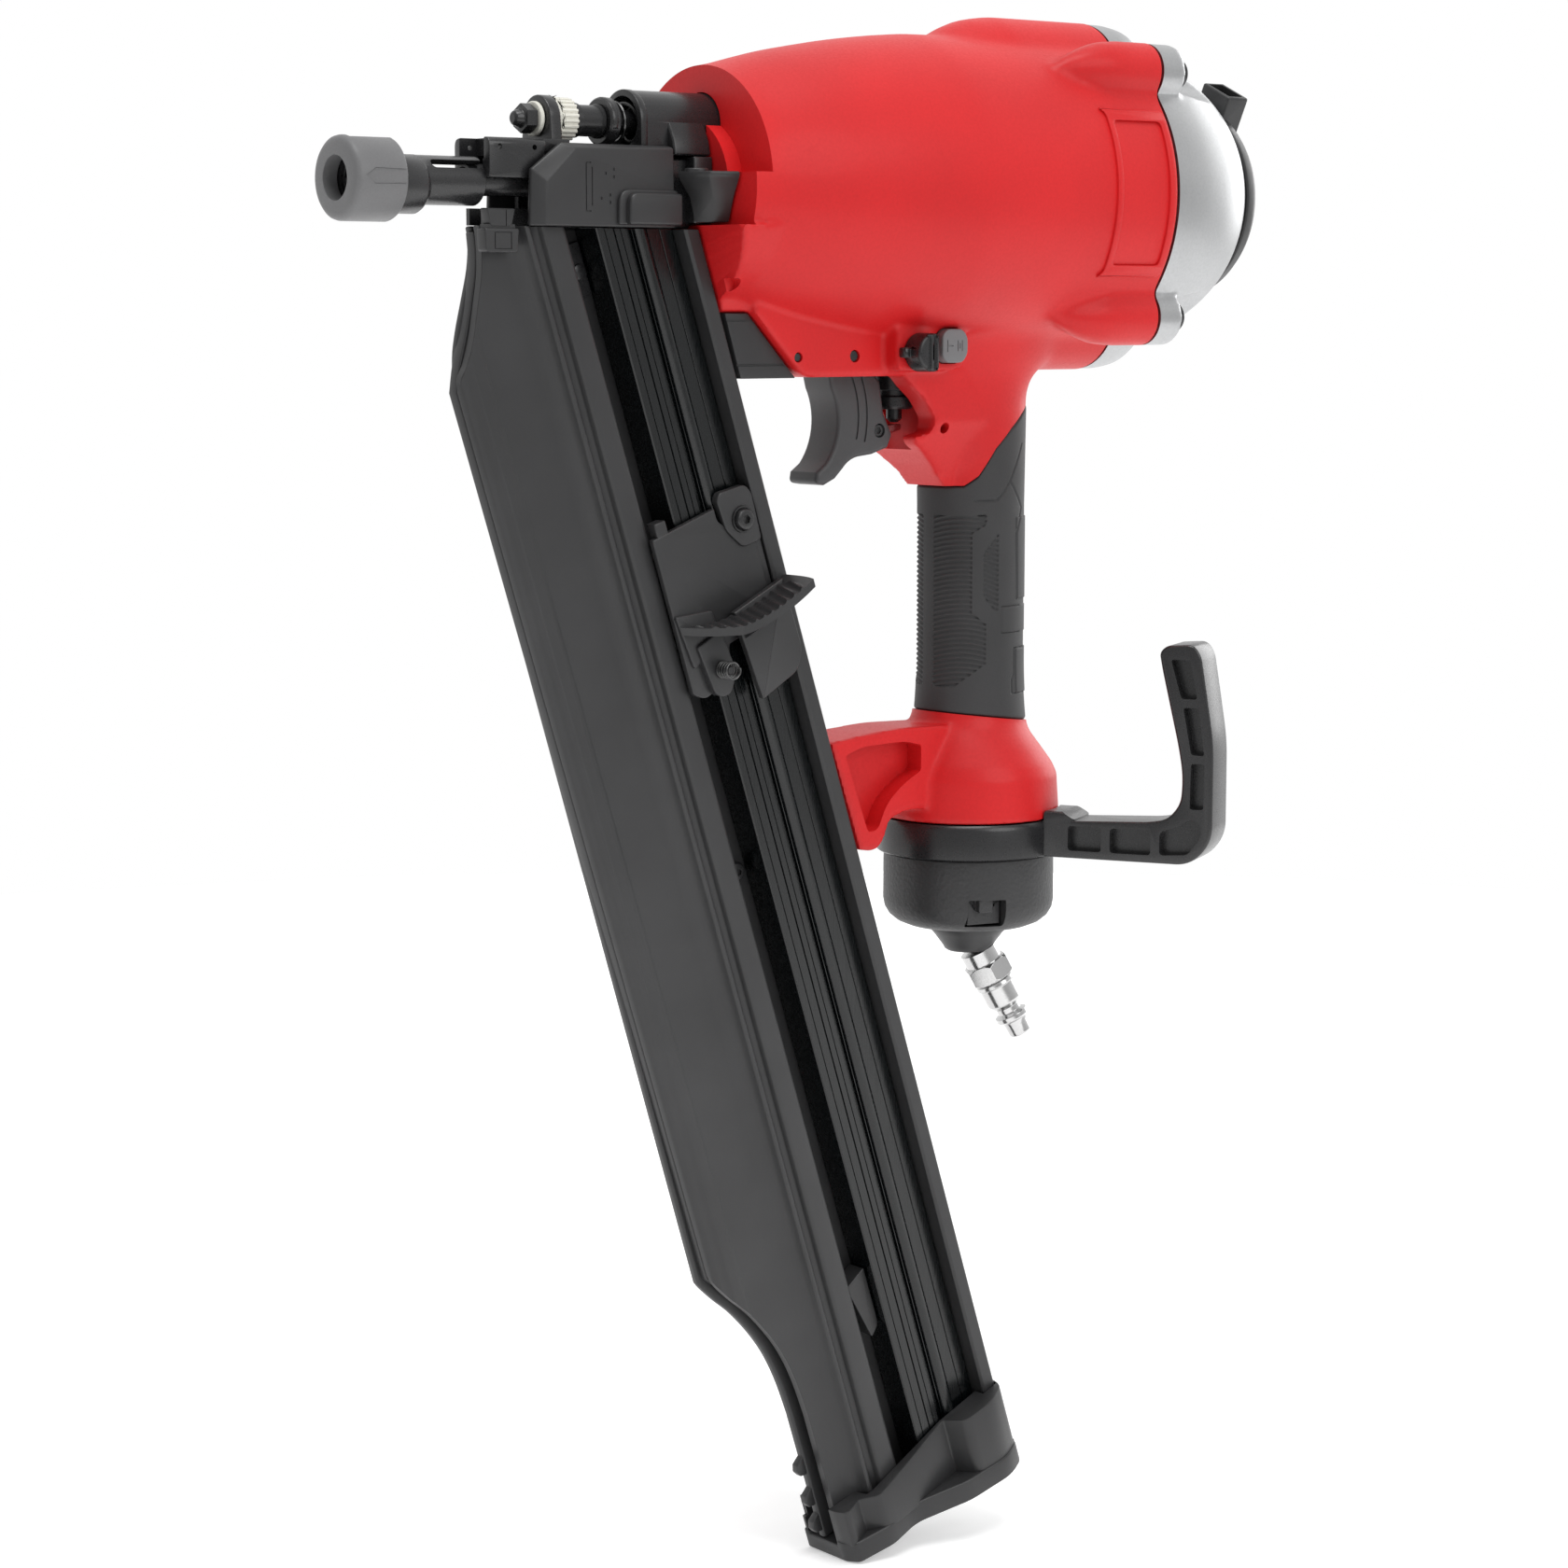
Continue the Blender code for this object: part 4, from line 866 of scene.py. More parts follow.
def build_nose():
    """The driving nose with its covers, guard and trip housing."""
    guide = turned([(44, 4.2), (44, 5.1), (70, 5.1), (70, 4.2)], AXIS, steps=48)
    slim = softened(block((66, -5.3, -11.3), (86, 5.3, 7.4)), 0.6)
    shelf = block((48.4, -4.7, -11.2), (70, 4.7, -6.2))
    wide = softened(block((84.5, -9.6, -11.3), (121, 9.6, 9.6)), 0.6)
    flange = softened(block((119.5, -13.8, -9.9), (126.7, 13.8, 10.3)), 0.6)
    bore = rod((60, 0, AXIS_Z), 80, 4.2, steps=48)
    slot = block((40, -3.0, -12), (119, 3.0, AXIS_Z))
    body = carve(guide, add=[slim, shelf, wide, flange], cut=[bore, slot])
    piece("nose_casting", body, "black_steel", nodes=["nose_body"])

    step = softened(prism(rounded([(90.2, -10.6), (90.2, -0.2), (112.4, -0.2), (112.4, -10.6)],
                                  [0, 4.5, 1.5, 0], 8), "Y", -15.3, -13), 0.5)
    hump = softened(prism(rounded([(92.8, -10.6), (92.8, -1.2), (112.6, -1.2), (112.6, -10.6)],
                                  [0, 3.5, 1.2, 0], 8), "Y", -17.4, -14), 0.8)
    marks = [block((left, -14.3, low), (right, -13.75, high))
             for left, right, low, high in ((78.6, 79.0, -6.8, 7.6), (78.6, 80.6, 7.3, 7.7),
                                            (78.6, 80.6, -7.0, -6.6), (80.8, 81.2, -5.2, 6.2))]
    for x, z in ((85.6, 4.0), (88.6, 5.2), (88.6, 3.0), (84.0, -3.4), (87.2, -2.4), (87.2, -4.6)):
        marks.append(block((x, -14.3, z), (x + 0.7, -13.75, z + 0.9)))
    cover = carve(cover_plate(), add=[step, hump], cut=marks)
    piece("cover_near", cover, "black_polymer", nodes=["nose_cover_near"])

    far = mirrored(cover_plate())
    piece("cover_far", far, "black_polymer", nodes=["nose_cover_far"])

    rings = []
    for z, front, reach, rear in ((-9.6, 119.5, -19.5, -22.5), (-2.0, 117.5, -21.5, -25.0),
                                  (3.0, 113.8, -24.6, -27.4), (4.2, 113.0, -25.6, -28.0),
                                  (5.6, 113.0, -25.6, -28.0)):
        rings.append([(front - 0.5, -14.4, z), (front + 3.5, reach, z), (126.2, rear, z),
                      (126.2, -14.4, z)])
    wedge = softened(loft(rings), 0.5, 2, 25)
    bump = rod((117.5, -17.5, 4.6), 2.0, 3.6, (0, 0, 1), 40)
    piece("side_wedge", carve(wedge, add=[softened(bump, 0.6, 3, 50)]), "black_polymer",
          nodes=["side_bracket"])

    guard = prism([(131.2, -37.0), (140.0, -37.0), (159.3, -57.2), (137.5, -57.2)], "Y", -14, 14)
    strips = slabs([((120, -15, -53.4), (170, -13.5, -52.6)),
                    ((120, 13.5, -53.4), (170, 15, -52.6)),
                    ((120, -15, -39.6), (170, -13.7, -39.0))])
    piece("guard_lower", carve(softened(guard, 0.4), cut=strips), "black_polymer",
          nodes=["lower_guard"])

    outer = arc(0, TRIP_Z, 9.7, 0, 180, 41) + [(-9.7, 11), (9.7, 11)]
    sleeve = softened(prism(outer, "X", 103, 142.2), 0.35, 2, 50)
    lip = softened(prism(arc(0, TRIP_Z, 9.9, 0, 180, 41) + [(-9.9, 11), (9.9, 11)],
                         "X", 102.4, 105), 0.4, 2, 50)
    bore = turned([(100, 0), (100, 8.6), (103.4, 7.7), (139.5, 7.7), (139.5, 0)], (0, 0, TRIP_Z))
    skirt = softened(prism([(-13.3, 10.6), (-12.4, 15), (-9.5, 21), (9.5, 21), (12.4, 15),
                            (13.3, 10.6)], "X", 112.6, 126.6), 0.8, 3)
    piece("trip_sleeve", carve(sleeve, add=[lip, skirt], cut=[bore]), "glossy_polymer",
          nodes=["trip_housing"], sharp=40)


def build_trip():
    """The contact trip and the depth adjustment on its line."""
    line = (0, 0, TRIP_Z)
    disc = turned([(93.3, 0), (93.3, 6.6), (93.8, 7.1), (96.8, 7.2), (97.3, 6.8), (97.3, 4.4),
                   (98.2, 3.6), (124, 3.6), (125, 2.6), (125, 0)], line)
    hood = softened(prism(arc(0, TRIP_Z, 7.3, -20, 200, 41), "X", 94.0, 96.0), 0.4, 2, 50)
    screw_way = rod((90, 0, TRIP_Z), 6.3, 2.8, steps=32)
    piece("plunger", carve(disc, add=[hood], cut=[screw_way]), "black_steel",
          body="contact_trip", nodes=["trip_plunger"], sharp=40)
    collar = turned([(82.4, 2.8), (82.4, 4.7), (82.8, 5.1), (84.6, 5.2), (85.0, 4.7), (92.2, 4.7),
                     (92.6, 5.2), (93.0, 5.2), (93.0, 2.8)], line)
    piece("bushing", collar, "glossy_polymer", body="contact_trip", nodes=["trip_bushing"],
          sharp=40)
    spring = piece("return_spring", coil((97.7, 0, TRIP_Z), (1, 0, 0), 41, 5.7, 0.65, 8.5),
                   "spring_steel", nodes=["trip_spring"])
    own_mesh(spring)

    teeth = 24
    outline = []
    for i in range(teeth):
        for share, radius in ((0.0, 6.0), (0.2, 6.6), (0.55, 6.6), (0.75, 6.0)):
            angle = math.tau * (i + share) / teeth
            outline.append((radius * math.cos(angle), TRIP_Z + radius * math.sin(angle)))
    wheel = prism(outline, "X", 76.2, 82.0)
    rim = turned([(75.2, 0), (75.2, 5.6), (75.7, 6.0), (76.8, 6.0), (76.8, 0)], line)
    hollow = turned([(70, 0), (70, 2.8), (82, 2.8), (90, 2.8), (90, 0)], line, steps=32)
    piece("knurled_wheel", carve(wheel, add=[rim], cut=[hollow]), "white_polymer",
          body="depth_wheel", nodes=["depth_wheel"], bevel=0.12)

    screw = turned([(65.9, 0), (65.9, 2.5), (95.4, 2.5), (95.5, 0)], line, steps=40)
    piece("adjusting_screw", screw, "steel", body="contact_foot", nodes=["depth_screw"], bevel=0.2)
    hexagon = turned([(64.9, 2.6), (64.9, 4.5), (68.7, 4.5), (68.7, 2.6)], line, steps=6)
    crown = turned([(62.0, 0), (62.0, 1.4), (62.5, 2.1), (63.6, 2.5), (64.7, 2.7), (65.1, 3.6),
                    (66.0, 3.6), (66.0, 2.65), (65.4, 2.6), (65.4, 0)], line, steps=48)
    piece("acorn_nut", carve(hexagon, add=[crown]), "black_steel", body="contact_foot",
          nodes=["depth_nut"], bevel=0.25)
    washer = turned([(69.0, 2.8), (69.0, 4.9), (69.3, 5.2), (70.1, 5.2), (70.4, 4.9),
                     (70.4, 2.8)], line)
    piece("washer", washer, "white_polymer", body="contact_foot", nodes=["depth_washer"])


def build_foot():
    """The sliding foot: clamp, tube and rubber pad."""
    ear = prism(arc(0, TRIP_Z, 7.1, 0, 180, 41) + [(-8.1, 10.1), (8.1, 10.1)], "X", 70.7, 74.8)
    ear = softened(ear, 0.5, 3, 50)
    section = rounded([(-9.2, 2.6), (-9.2, 14.4), (9.2, 14.4), (9.2, 2.6)], [0, 2.6, 2.6, 0], 8)
    saddle = prism(section, "X", 47.4, 67.8)
    side = prism(rounded([(46.2, 20), (46.2, 6.2), (47.6, 2.4), (62, 2.4), (66.2, 6.4),
                          (68.4, 14.4), (68.4, 20)], [0, 3, 1.5, 4, 2, 1, 0], 8), "Y", -20, 20)
    saddle = softened(carve(saddle, common=[side]), 0.45, 2, 40)
    web = softened(block((60, -8.1, 10.2), (77.3, 8.1, 14.4)), 0.5)
    trough = block((44, -5.7, 0), (80, 5.7, 9.3))
    notch = block((44, -6.4, 8), (53.5, 6.4, 18))
    hole = rod((70, 0, TRIP_Z), 12, 2.8, steps=40)
    dots = [rod((x, -10, 11.6), 20, 0.8, (0, 1, 0), 24) for x in (51.2, 63.6)]
    piece("clamp", carve(ear, add=[saddle, web], cut=[trough, notch, hole] + dots),
          "black_steel", body="contact_foot", nodes=["foot_clamp"], sharp=40)

    barrel = turned([(5.4, 5.5), (5.4, 7.2), (47.5, 7.2), (47.8, 6.9), (47.8, 5.5)],
                    AXIS)
    collar = turned([(18.1, 5.5), (18.1, 8.3), (18.5, 8.6), (26.4, 8.6), (27.4, 8.0),
                     (28.6, 6.9), (28.6, 5.5)], (0, 0, AXIS_Z - 1.3))
    bore = rod((4, 0, AXIS_Z), 50, 5.5)
    turn = Matrix.Translation(AXIS) @ Matrix.Rotation(math.radians(48), 4, "X")
    slot = moved(prism([(29.5 + 1.6 - x, y) for x, y in arc(0, 0, 1.6, -90, 90, 13)]
                       + [(55, 1.6), (55, -1.6)], "Z", 3, 14), turn)
    far_slot = mirrored(slot.copy())
    piece("contact_barrel", carve(barrel, add=[collar], cut=[bore, slot, far_slot]),
          "black_steel", body="contact_foot", nodes=["contact_tube"], sharp=35)

    outline = [(0, 6.5), (0, 10.0), (0.35, 11.2), (1.1, 12.0), (2.2, 12.3), (16.6, 12.3),
               (17.4, 11.9), (17.7, 11.2), (17.7, 7.5), (5, 7.5), (5, 6.5)]
    pad = turned(outline, AXIS, steps=96)
    flat = block((3.0, -9, AXIS_Z + 11.7), (30, 9, AXIS_Z + 20))
    arrow = prism([(3.2, AXIS_Z + 0.6), (6.4, AXIS_Z + 2.6), (30, AXIS_Z + 2.2),
                   (30, AXIS_Z - 1.4), (6.0, AXIS_Z - 1.8)], "Y", -20, -11.95)
    arrows = [arrow, mirrored(arrow.copy())]
    piece("muzzle_pad", carve(pad, cut=[flat] + arrows), "pad_rubber", body="contact_foot",
          nodes=["nose_pad"], bevel=0.18)
    tooth = prism([(-5.5, AXIS_Z - 1.3), (5.5, AXIS_Z - 1.3), (5.5, AXIS_Z + 0.6)], "X", 6.0, 7.0)
    ring = turned([(6, 4.3), (6, 5.3), (9, 5.3), (9, 4.3)], AXIS)
    piece("muzzle_teeth", carve(ring, add=[tooth]), "black_steel", body="contact_foot", bevel=0.1)


# ---------------------------------------------------------------- magazine
def magazine_s(q, height=NOSE_FLOOR):
    """How far down the magazine a level line of the tool frame lies."""
    return (q * math.sin(LEAN) - height) / math.cos(LEAN)


def tail_line(inset=0.0, skip=0):
    """The sweep back to the tail, set forward by inset and without its first points."""
    corner = [(MAG_FRONT, 368), (20.6, 372.5), (24.5, 379.5), (30, 388), (35.2, 399),
              (38.4, 409), (40.2, 420), (41, 432)]
    return smooth_line([(q - inset, s) for q, s in corner], 4)[skip:]


def near_outline():
    """The near shell from the side, as (q, s)."""
    neck = [(40.6, magazine_s(40.6)), (39.8, 30), (37.4, 38), (33.2, 46.5), (28.6, 55), (24.0, 62),
            (20.8, 65.6), (MAG_FRONT, 70)]
    return (smooth_line(neck, 4) + tail_line()
            + [(41, MAG_END), (RAIL_OUT, MAG_END), (RAIL_OUT, magazine_s(RAIL_OUT))])


def near_section():
    """Section across the near shell and its rail, as (q, y)."""
    front = [(MAG_FRONT, -1.6), (MAG_FRONT, -2.0)]
    front += [(22.5 + x, -1.8 + y) for x, y in arc(0, 0, 3.0, 186, 264, 8)]
    face = [(25.0, -4.8), (25.6, -5.1), (29.6, -5.1), (30.4, -4.8), (46.8, -4.8), (49.2, -5.1),
            (51.2, -6.1), (52.4, -7.6), (52.9, -9.3)]
    ridge = [(53.1, -9.7), (53.6, -9.9), (54.2, -9.9), (54.6, -9.6), (54.9, -7.9), (55.5, -7.3),
             (57.6, -7.3), (58.4, -7.9), (58.7, -9.3), (59.3, -9.75), (60.2, -9.8)]
    rail = [(65.6, -9.8), (66.6, -9.5), (67, -8.8), (67, -4), (66, -3.4), (66, -1.6)]
    return front + face + ridge + rail


def build_shells():
    """The two side shells of the magazine."""
    solid = prism(near_section(), "Z", -500, 20)
    shell = carve(solid, common=[side_prism(near_outline(), -20, 5)])
    piece("shell_near", shell, "black_polymer", matrix=MAGAZINE, nodes=["magazine_near_shell"],
          bevel=0.3, sharp=48)

    neck = [(41.6, magazine_s(41.6)), (41.0, 30), (38.0, 37.5), (33.2, 45.5), (28.0, 54),
            (24.6, 61), (22.2, 70), (21.4, 80)]
    outline = smooth_line(neck, 4) + tail_line(2.5, 3)
    outline += [(38.5, MAG_END), (MAG_REAR, MAG_END), (MAG_REAR, magazine_s(MAG_REAR))]
    plate = softened(side_prism(outline, 1.6, 4.8), 1.0, 4, 60)
    rear = MAG_REAR - 0.1
    foot = MAG_END - 0.1
    thick = side_prism([(RAIL_IN, magazine_s(RAIL_IN) + 0.1), (rear, magazine_s(MAG_REAR) + 0.1),
                        (rear, foot), (RAIL_IN, foot)], 3.6, 9.6)
    thick = softened(thick, 0.9, 3)
    front = smooth_line([(40.4, 27), (38.0, 36.5), (33.4, 45.5), (28.4, 54), (23.4, 62),
                         (MAG_FRONT, 70)], 4)
    back = [(q + 2.4, s + 1) for q, s in reversed(front)]
    lip = softened(side_prism(front + [(MAG_FRONT, 370), (22.4, 374)] + back, -1.3, 3), 0.5)
    hooks = []
    for s in (448, 460, 470):
        hooks.append(softened(side_prism([(39, s), (35.6, s + 2), (35.0, s + 4.5),
                                          (36.2, s + 6.5), (39, s + 7)], 1.8, 4.6), 0.5))
    grooves = [bar_down(q - 0.5, q + 0.5, 9.1, 12, 60, MAG_END + 2)
               for q in (57.5, 66, 100, 106)]
    waist = bar_down(70, 96, 8.4, 12, 50, 470)
    vents = [softened(bar_down(70.4, 72.4, 1.2, 2.2, s, s + 8), 0.3) for s in (66, 76)]
    thick = carve(thick, cut=grooves + [waist])
    body = joined([plate, thick, lip] + hooks + vents)
    piece("shell_far", body, "black_polymer", matrix=MAGAZINE, nodes=["magazine_far_shell"],
          sharp=35)


def build_track():
    """The extruded track with the rail behind it and its fittings."""
    profile = [(77.5, 1.2), (77.5, -9.4), (77.9, -9.8), (80.2, -9.8), (80.4, -9.45), (80.6, -9.8),
               (83.4, -9.8), (83.7, -9.2), (84.0, -9.8), (85.9, -9.8), (86.1, -9.45),
               (86.3, -9.8), (88.0, -9.8), (88.4, -9.3), (88.6, -7.0), (90.9, -7.0),
               (91.2, -8.0)]
    profile += arc(94, -7.6, 2.6, 190, 350, 20)
    profile += [(96.8, -8.2), (100.9, -8.2), (101.2, -7.8), (101.5, -8.2), (105.6, -8.2),
                (106, -7.8), (106, -4), (91, -4), (91, 1.2)]
    level = side_prism([(77, magazine_s(77) + 0.3), (113, magazine_s(113) + 0.3),
                        (113, MAG_END), (77, MAG_END)], -20, 5)
    track = carve(prism(profile, "Z", -MAG_END - 5, 0), common=[level.copy()])
    # the track's near-black colour holds painted shade of the recessed channel as well as its black
    # anodised finish
    piece("nail_track", track, "black_anodised", matrix=MAGAZINE, nodes=["magazine_track"],
          sharp=25)
    rail = [(106.4, -13.2), (107.2, -14), (111.2, -14), (112, -13.2), (112, 1.2), (106.4, 1.2)]
    rail = carve(prism(rail, "Z", -MAG_END - 5, 0), common=[level])
    piece("rail_rear", rail, "black_polymer", matrix=MAGAZINE, nodes=["magazine_rear_rail"],
          bevel=0.3)
    head = turned([(0, 0), (0, 3.0), (0.4, 3.2), (1.6, 3.2), (2.2, 2.7), (2.4, 2.0), (2.4, 0)],
                  (73.0, 1.3, -249), NEARWARD, 40)
    socket = rod((73.0, -0.2, -249), 4, 1.3, NEARWARD, 6)
    piece("channel_screw", carve(head, cut=[socket]), "black_steel", matrix=MAGAZINE,
          nodes=["magazine_screw"], bevel=0.1)
    plate = softened(bar_down(70.2, 77.0, 0.2, 1.4, 41, 58), 0.4)
    rivet = turned([(0, 0), (0, 2.6), (0.8, 2.3), (1.1, 1.2), (1.1, 0)], (74.2, 0.3, -50),
                   NEARWARD, 32)
    hole = rod((70.6, 2, -49), 3, 2.0, NEARWARD, 24)
    piece("rivet_plate", carve(plate, add=[rivet], cut=[hole]), "black_steel", matrix=MAGAZINE,
          bevel=0.1)
    stop = side_prism(rounded([(68, 398), (77, 394.5), (77, 416), (73, 419)], [0.6, 0.6, 2, 1]),
                      -6, 1.3)
    piece("stop_block", stop, "black_polymer", matrix=MAGAZINE, nodes=["track_stop"], bevel=0.4)


def build_end_cap():
    """The shoe on the lower end of the magazine."""
    band = rounded([(38, -8), (40, -13), (54, -15.4), (66.5, -12.8), (86, -20), (104, -21.2),
                    (112.6, -17), (115, -6), (115, 10), (113, 12), (38, 12)],
                   [1, 1.5, 2.5, 4, 3, 4, 3, 3, 2, 1, 1], 7)
    wall = rounded([(38.4, -8), (39.6, -12.4), (41.4, -12.8), (47.6, -10.4), (53.0, -14.9),
                    (56.5, -14.9), (88.5, -11.6), (92.0, -19.8), (103.6, -20.7), (112.2, -16.7),
                    (114.5, -6), (114.5, 11.6), (38.4, 11.6)],
                   [1, 1, 1, 0.6, 1.5, 2, 0.6, 2.5, 4, 3, 3, 1.5, 1], 7)
    base = prism(band, "Z", -CAP_END, -478.6)
    upper = prism(wall, "Z", -480, -454)
    trim = side_prism([(30, 440), (30, 466.5), (54, 466.5), (88, 458.5), (116, 455.5),
                       (120, 440)], -30, 20)
    upper = softened(carve(upper, cut=[trim]), 0.5, 2, 40)
    pocket = prism([(30, -5.1), (50.5, -5.1), (51.5, -10.3), (105.6, -10.3), (105.6, -14.4),
                    (112.4, -14.4), (112.4, 9.9), (30, 9.9)], "Z", -MAG_END - 0.3, -440)
    open_front = side_prism([(30, 440), (39.9, 440), (39.9, MAG_END - 6), (30, MAG_END - 6)],
                            -5.1, 20)
    hollow = carve(pocket, add=[open_front])
    body = joined([softened(carve(base, cut=[hollow.copy()]), 0.7, 3, 50),
                   carve(upper, cut=[hollow])])
    piece("end_cap", body, "black_polymer", matrix=MAGAZINE, nodes=["magazine_end_cap"],
          sharp=35)


def build_clip():
    """The clip that holds the magazine to the nose."""
    upper = loft([[(x, y, z) for x, z in rounded([(46.5, -6.4), (56.5, -6.4), (55.2, -11.6),
                                                   (47.6, -11.6)], [0.5, 0.5, 1, 1])]
                  for y in (-9.2, -5.2)])
    lower = prism(rounded([(45.2, -12.2), (57.4, -12.2), (56.8, -19.2), (45.6, -19.2)],
                          [0.8, 0.8, 1.2, 1.2]), "Y", -9.8, -5.2)
    neck = block((46.6, -9.0, -13), (56.4, -5.2, -11))
    lines = slabs([((48.6, -10.2, -18.2), (48.9, -9.5, -13.2)),
                   ((54.4, -10.2, -18.2), (54.7, -9.5, -13.2)),
                   ((48.6, -10.2, -13.5), (54.7, -9.5, -13.2)),
                   ((48.6, -10.2, -18.3), (54.7, -9.5, -18.0)),
                   ((53.0, -10.2, -11.4), (53.3, -8.9, -6.8))])
    body = carve(softened(lower, 0.35), add=[softened(upper, 0.35), neck], cut=lines)
    piece("front_clip", body, "black_polymer", nodes=["magazine_clip"], sharp=35)


# ---------------------------------------------------------------- pusher
def build_pusher():
    """The sliding pusher with its screw and latch."""
    plate = rounded([(66, 133), (91.5, 131.8), (91.5, 136), (94.5, 139), (98, 140.5), (104, 140),
                     (104, 172), (84, 174), (82, 184), (70, 187), (66, 184)],
                    [0.6, 0.6, 1.5, 2, 2, 1, 1, 1, 1, 2, 1])
    face = side_prism(plate, -12.8, -10.4)
    ear = side_prism(rounded([(92.6, 129.4), (94.4, 127.6), (104.8, 128.4), (106.4, 132),
                              (105.8, 147), (98, 147), (93.4, 140)], [1.5, 1, 2, 1, 1.5, 2, 2]),
                     -13.6, -10.6)
    finger = bar_down(68.2, 76.6, -11, -1.6, 140, 158)
    lug = softened(bar_down(68.2, 72.6, -12.6, -8, 128.6, 134.5), 0.5)
    cheek = side_prism(rounded([(66, 158), (80, 161), (81, 172), (68, 176)], 1.0), -14.1, -10.6)
    lower_ear = side_prism(rounded([(70.2, 169.5), (80.4, 167.5), (82.4, 182), (78, 188.6),
                                    (72.4, 187)], [1, 1, 2, 3, 3], 8), -15.4, -12)
    strut = bar_down(103.6, 105.8, -12.8, -10.6, 140, 164)
    body = joined([softened(face, 0.5), softened(ear, 0.45), finger, lug, softened(cheek, 0.5),
                   softened(lower_ear, 0.5), softened(strut, 0.3)])
    piece("pusher_plate", body, "black_polymer", body="pusher", matrix=MAGAZINE,
          nodes=["pusher_body"], sharp=35)

    screw_at = (100.4, -13.7, -138.4)
    head = turned([(0, 0), (0, 3.4), (1.2, 3.4), (1.8, 3.1), (2.0, 2.5), (2.0, 0)], screw_at,
                  NEARWARD, 48)
    ring = turned([(0, 3.7), (0, 4.3), (0.5, 4.2), (0.5, 3.7)], screw_at, NEARWARD, 48)
    socket = rod((100.4, -14.6, -138.4), 3, 1.5, NEARWARD, 6)
    piece("pusher_bolt", carve(head, cut=[socket]), "black_steel", body="pusher", matrix=MAGAZINE,
          nodes=["pusher_screw"], bevel=0.12)
    piece("pusher_bolt_ring", ring, "black_steel", body="pusher", matrix=MAGAZINE)
    piece("latch_spring", coil((77, -15.5, -179.5), NEARWARD, 6, 2.6, 0.32, 5),
          "spring_steel", body="pusher", matrix=MAGAZINE, nodes=["pusher_latch_spring"])
    pin = turned([(0, 0), (0, 1.5), (4.2, 1.5), (4.6, 1.1), (4.6, 0)], (77, -15.3, -179.5),
                 NEARWARD, 32)
    piece("latch_pin", pin, "black_steel", body="pusher", matrix=MAGAZINE)


def thumb_level(q):
    """The ledge's height down the magazine across its width: a shallow curve."""
    return 165.2 - 0.0068 * (q - 84) ** 2 if q > 84 else 165.2 - 0.012 * (q - 84) ** 2


def build_thumb():
    """The ribbed thumb ledge with its gussets and the plate under it."""
    near = -29.4
    root = -14.3
    columns = 88
    rows = 14
    rings = []
    for i in range(columns + 1):
        share = i / columns
        top = []
        bottom = []
        for j in range(rows + 1):
            depth = j / rows
            y = root + (near - root) * depth
            start = 66.5 + 12.0 * depth
            end = 110.4 - 0.8 * depth ** 4
            q = start + (end - start) * share
            rib = 0.0
            if 72 < q < 107 and 0.04 < depth:
                wave = (q - 0.30 * (y - root)) / 3.3
                rib = 0.75 * max(0.0, math.cos(math.tau * wave)) ** 1.5
            curve = thumb_level(q)
            top.append((q, y, -(curve - rib)))
            bottom.append((q, y, -(curve + 2.6)))
        rings.append(top + bottom[::-1])
    ledge = loft(rings)
    gussets = []
    for q in (88.5, 96.0, 103.4):
        level = thumb_level(q) + 1.5
        gussets.append(loft([[(q + d, root + 0.5, -level), (q + d, -27.5, -level),
                              (q + d, -25.5, -(level + 2.5)), (q + d, root + 0.5, -(level + 8))]
                             for d in (-0.8, 0.8)]))
    lower = side_prism(rounded([(86.0, 164), (107.6, 160.5), (108.2, 184.5), (104.5, 190.5),
                                (88.5, 194)], [0.5, 0.5, 3, 3, 0.6]), root - 2.5, root)
    body = joined([softened(lower, 0.45), ledge] + gussets)
    piece("thumb_ledge", body, "black_polymer", body="pusher_thumb", matrix=MAGAZINE,
          nodes=["pusher_thumb"], sharp=32)


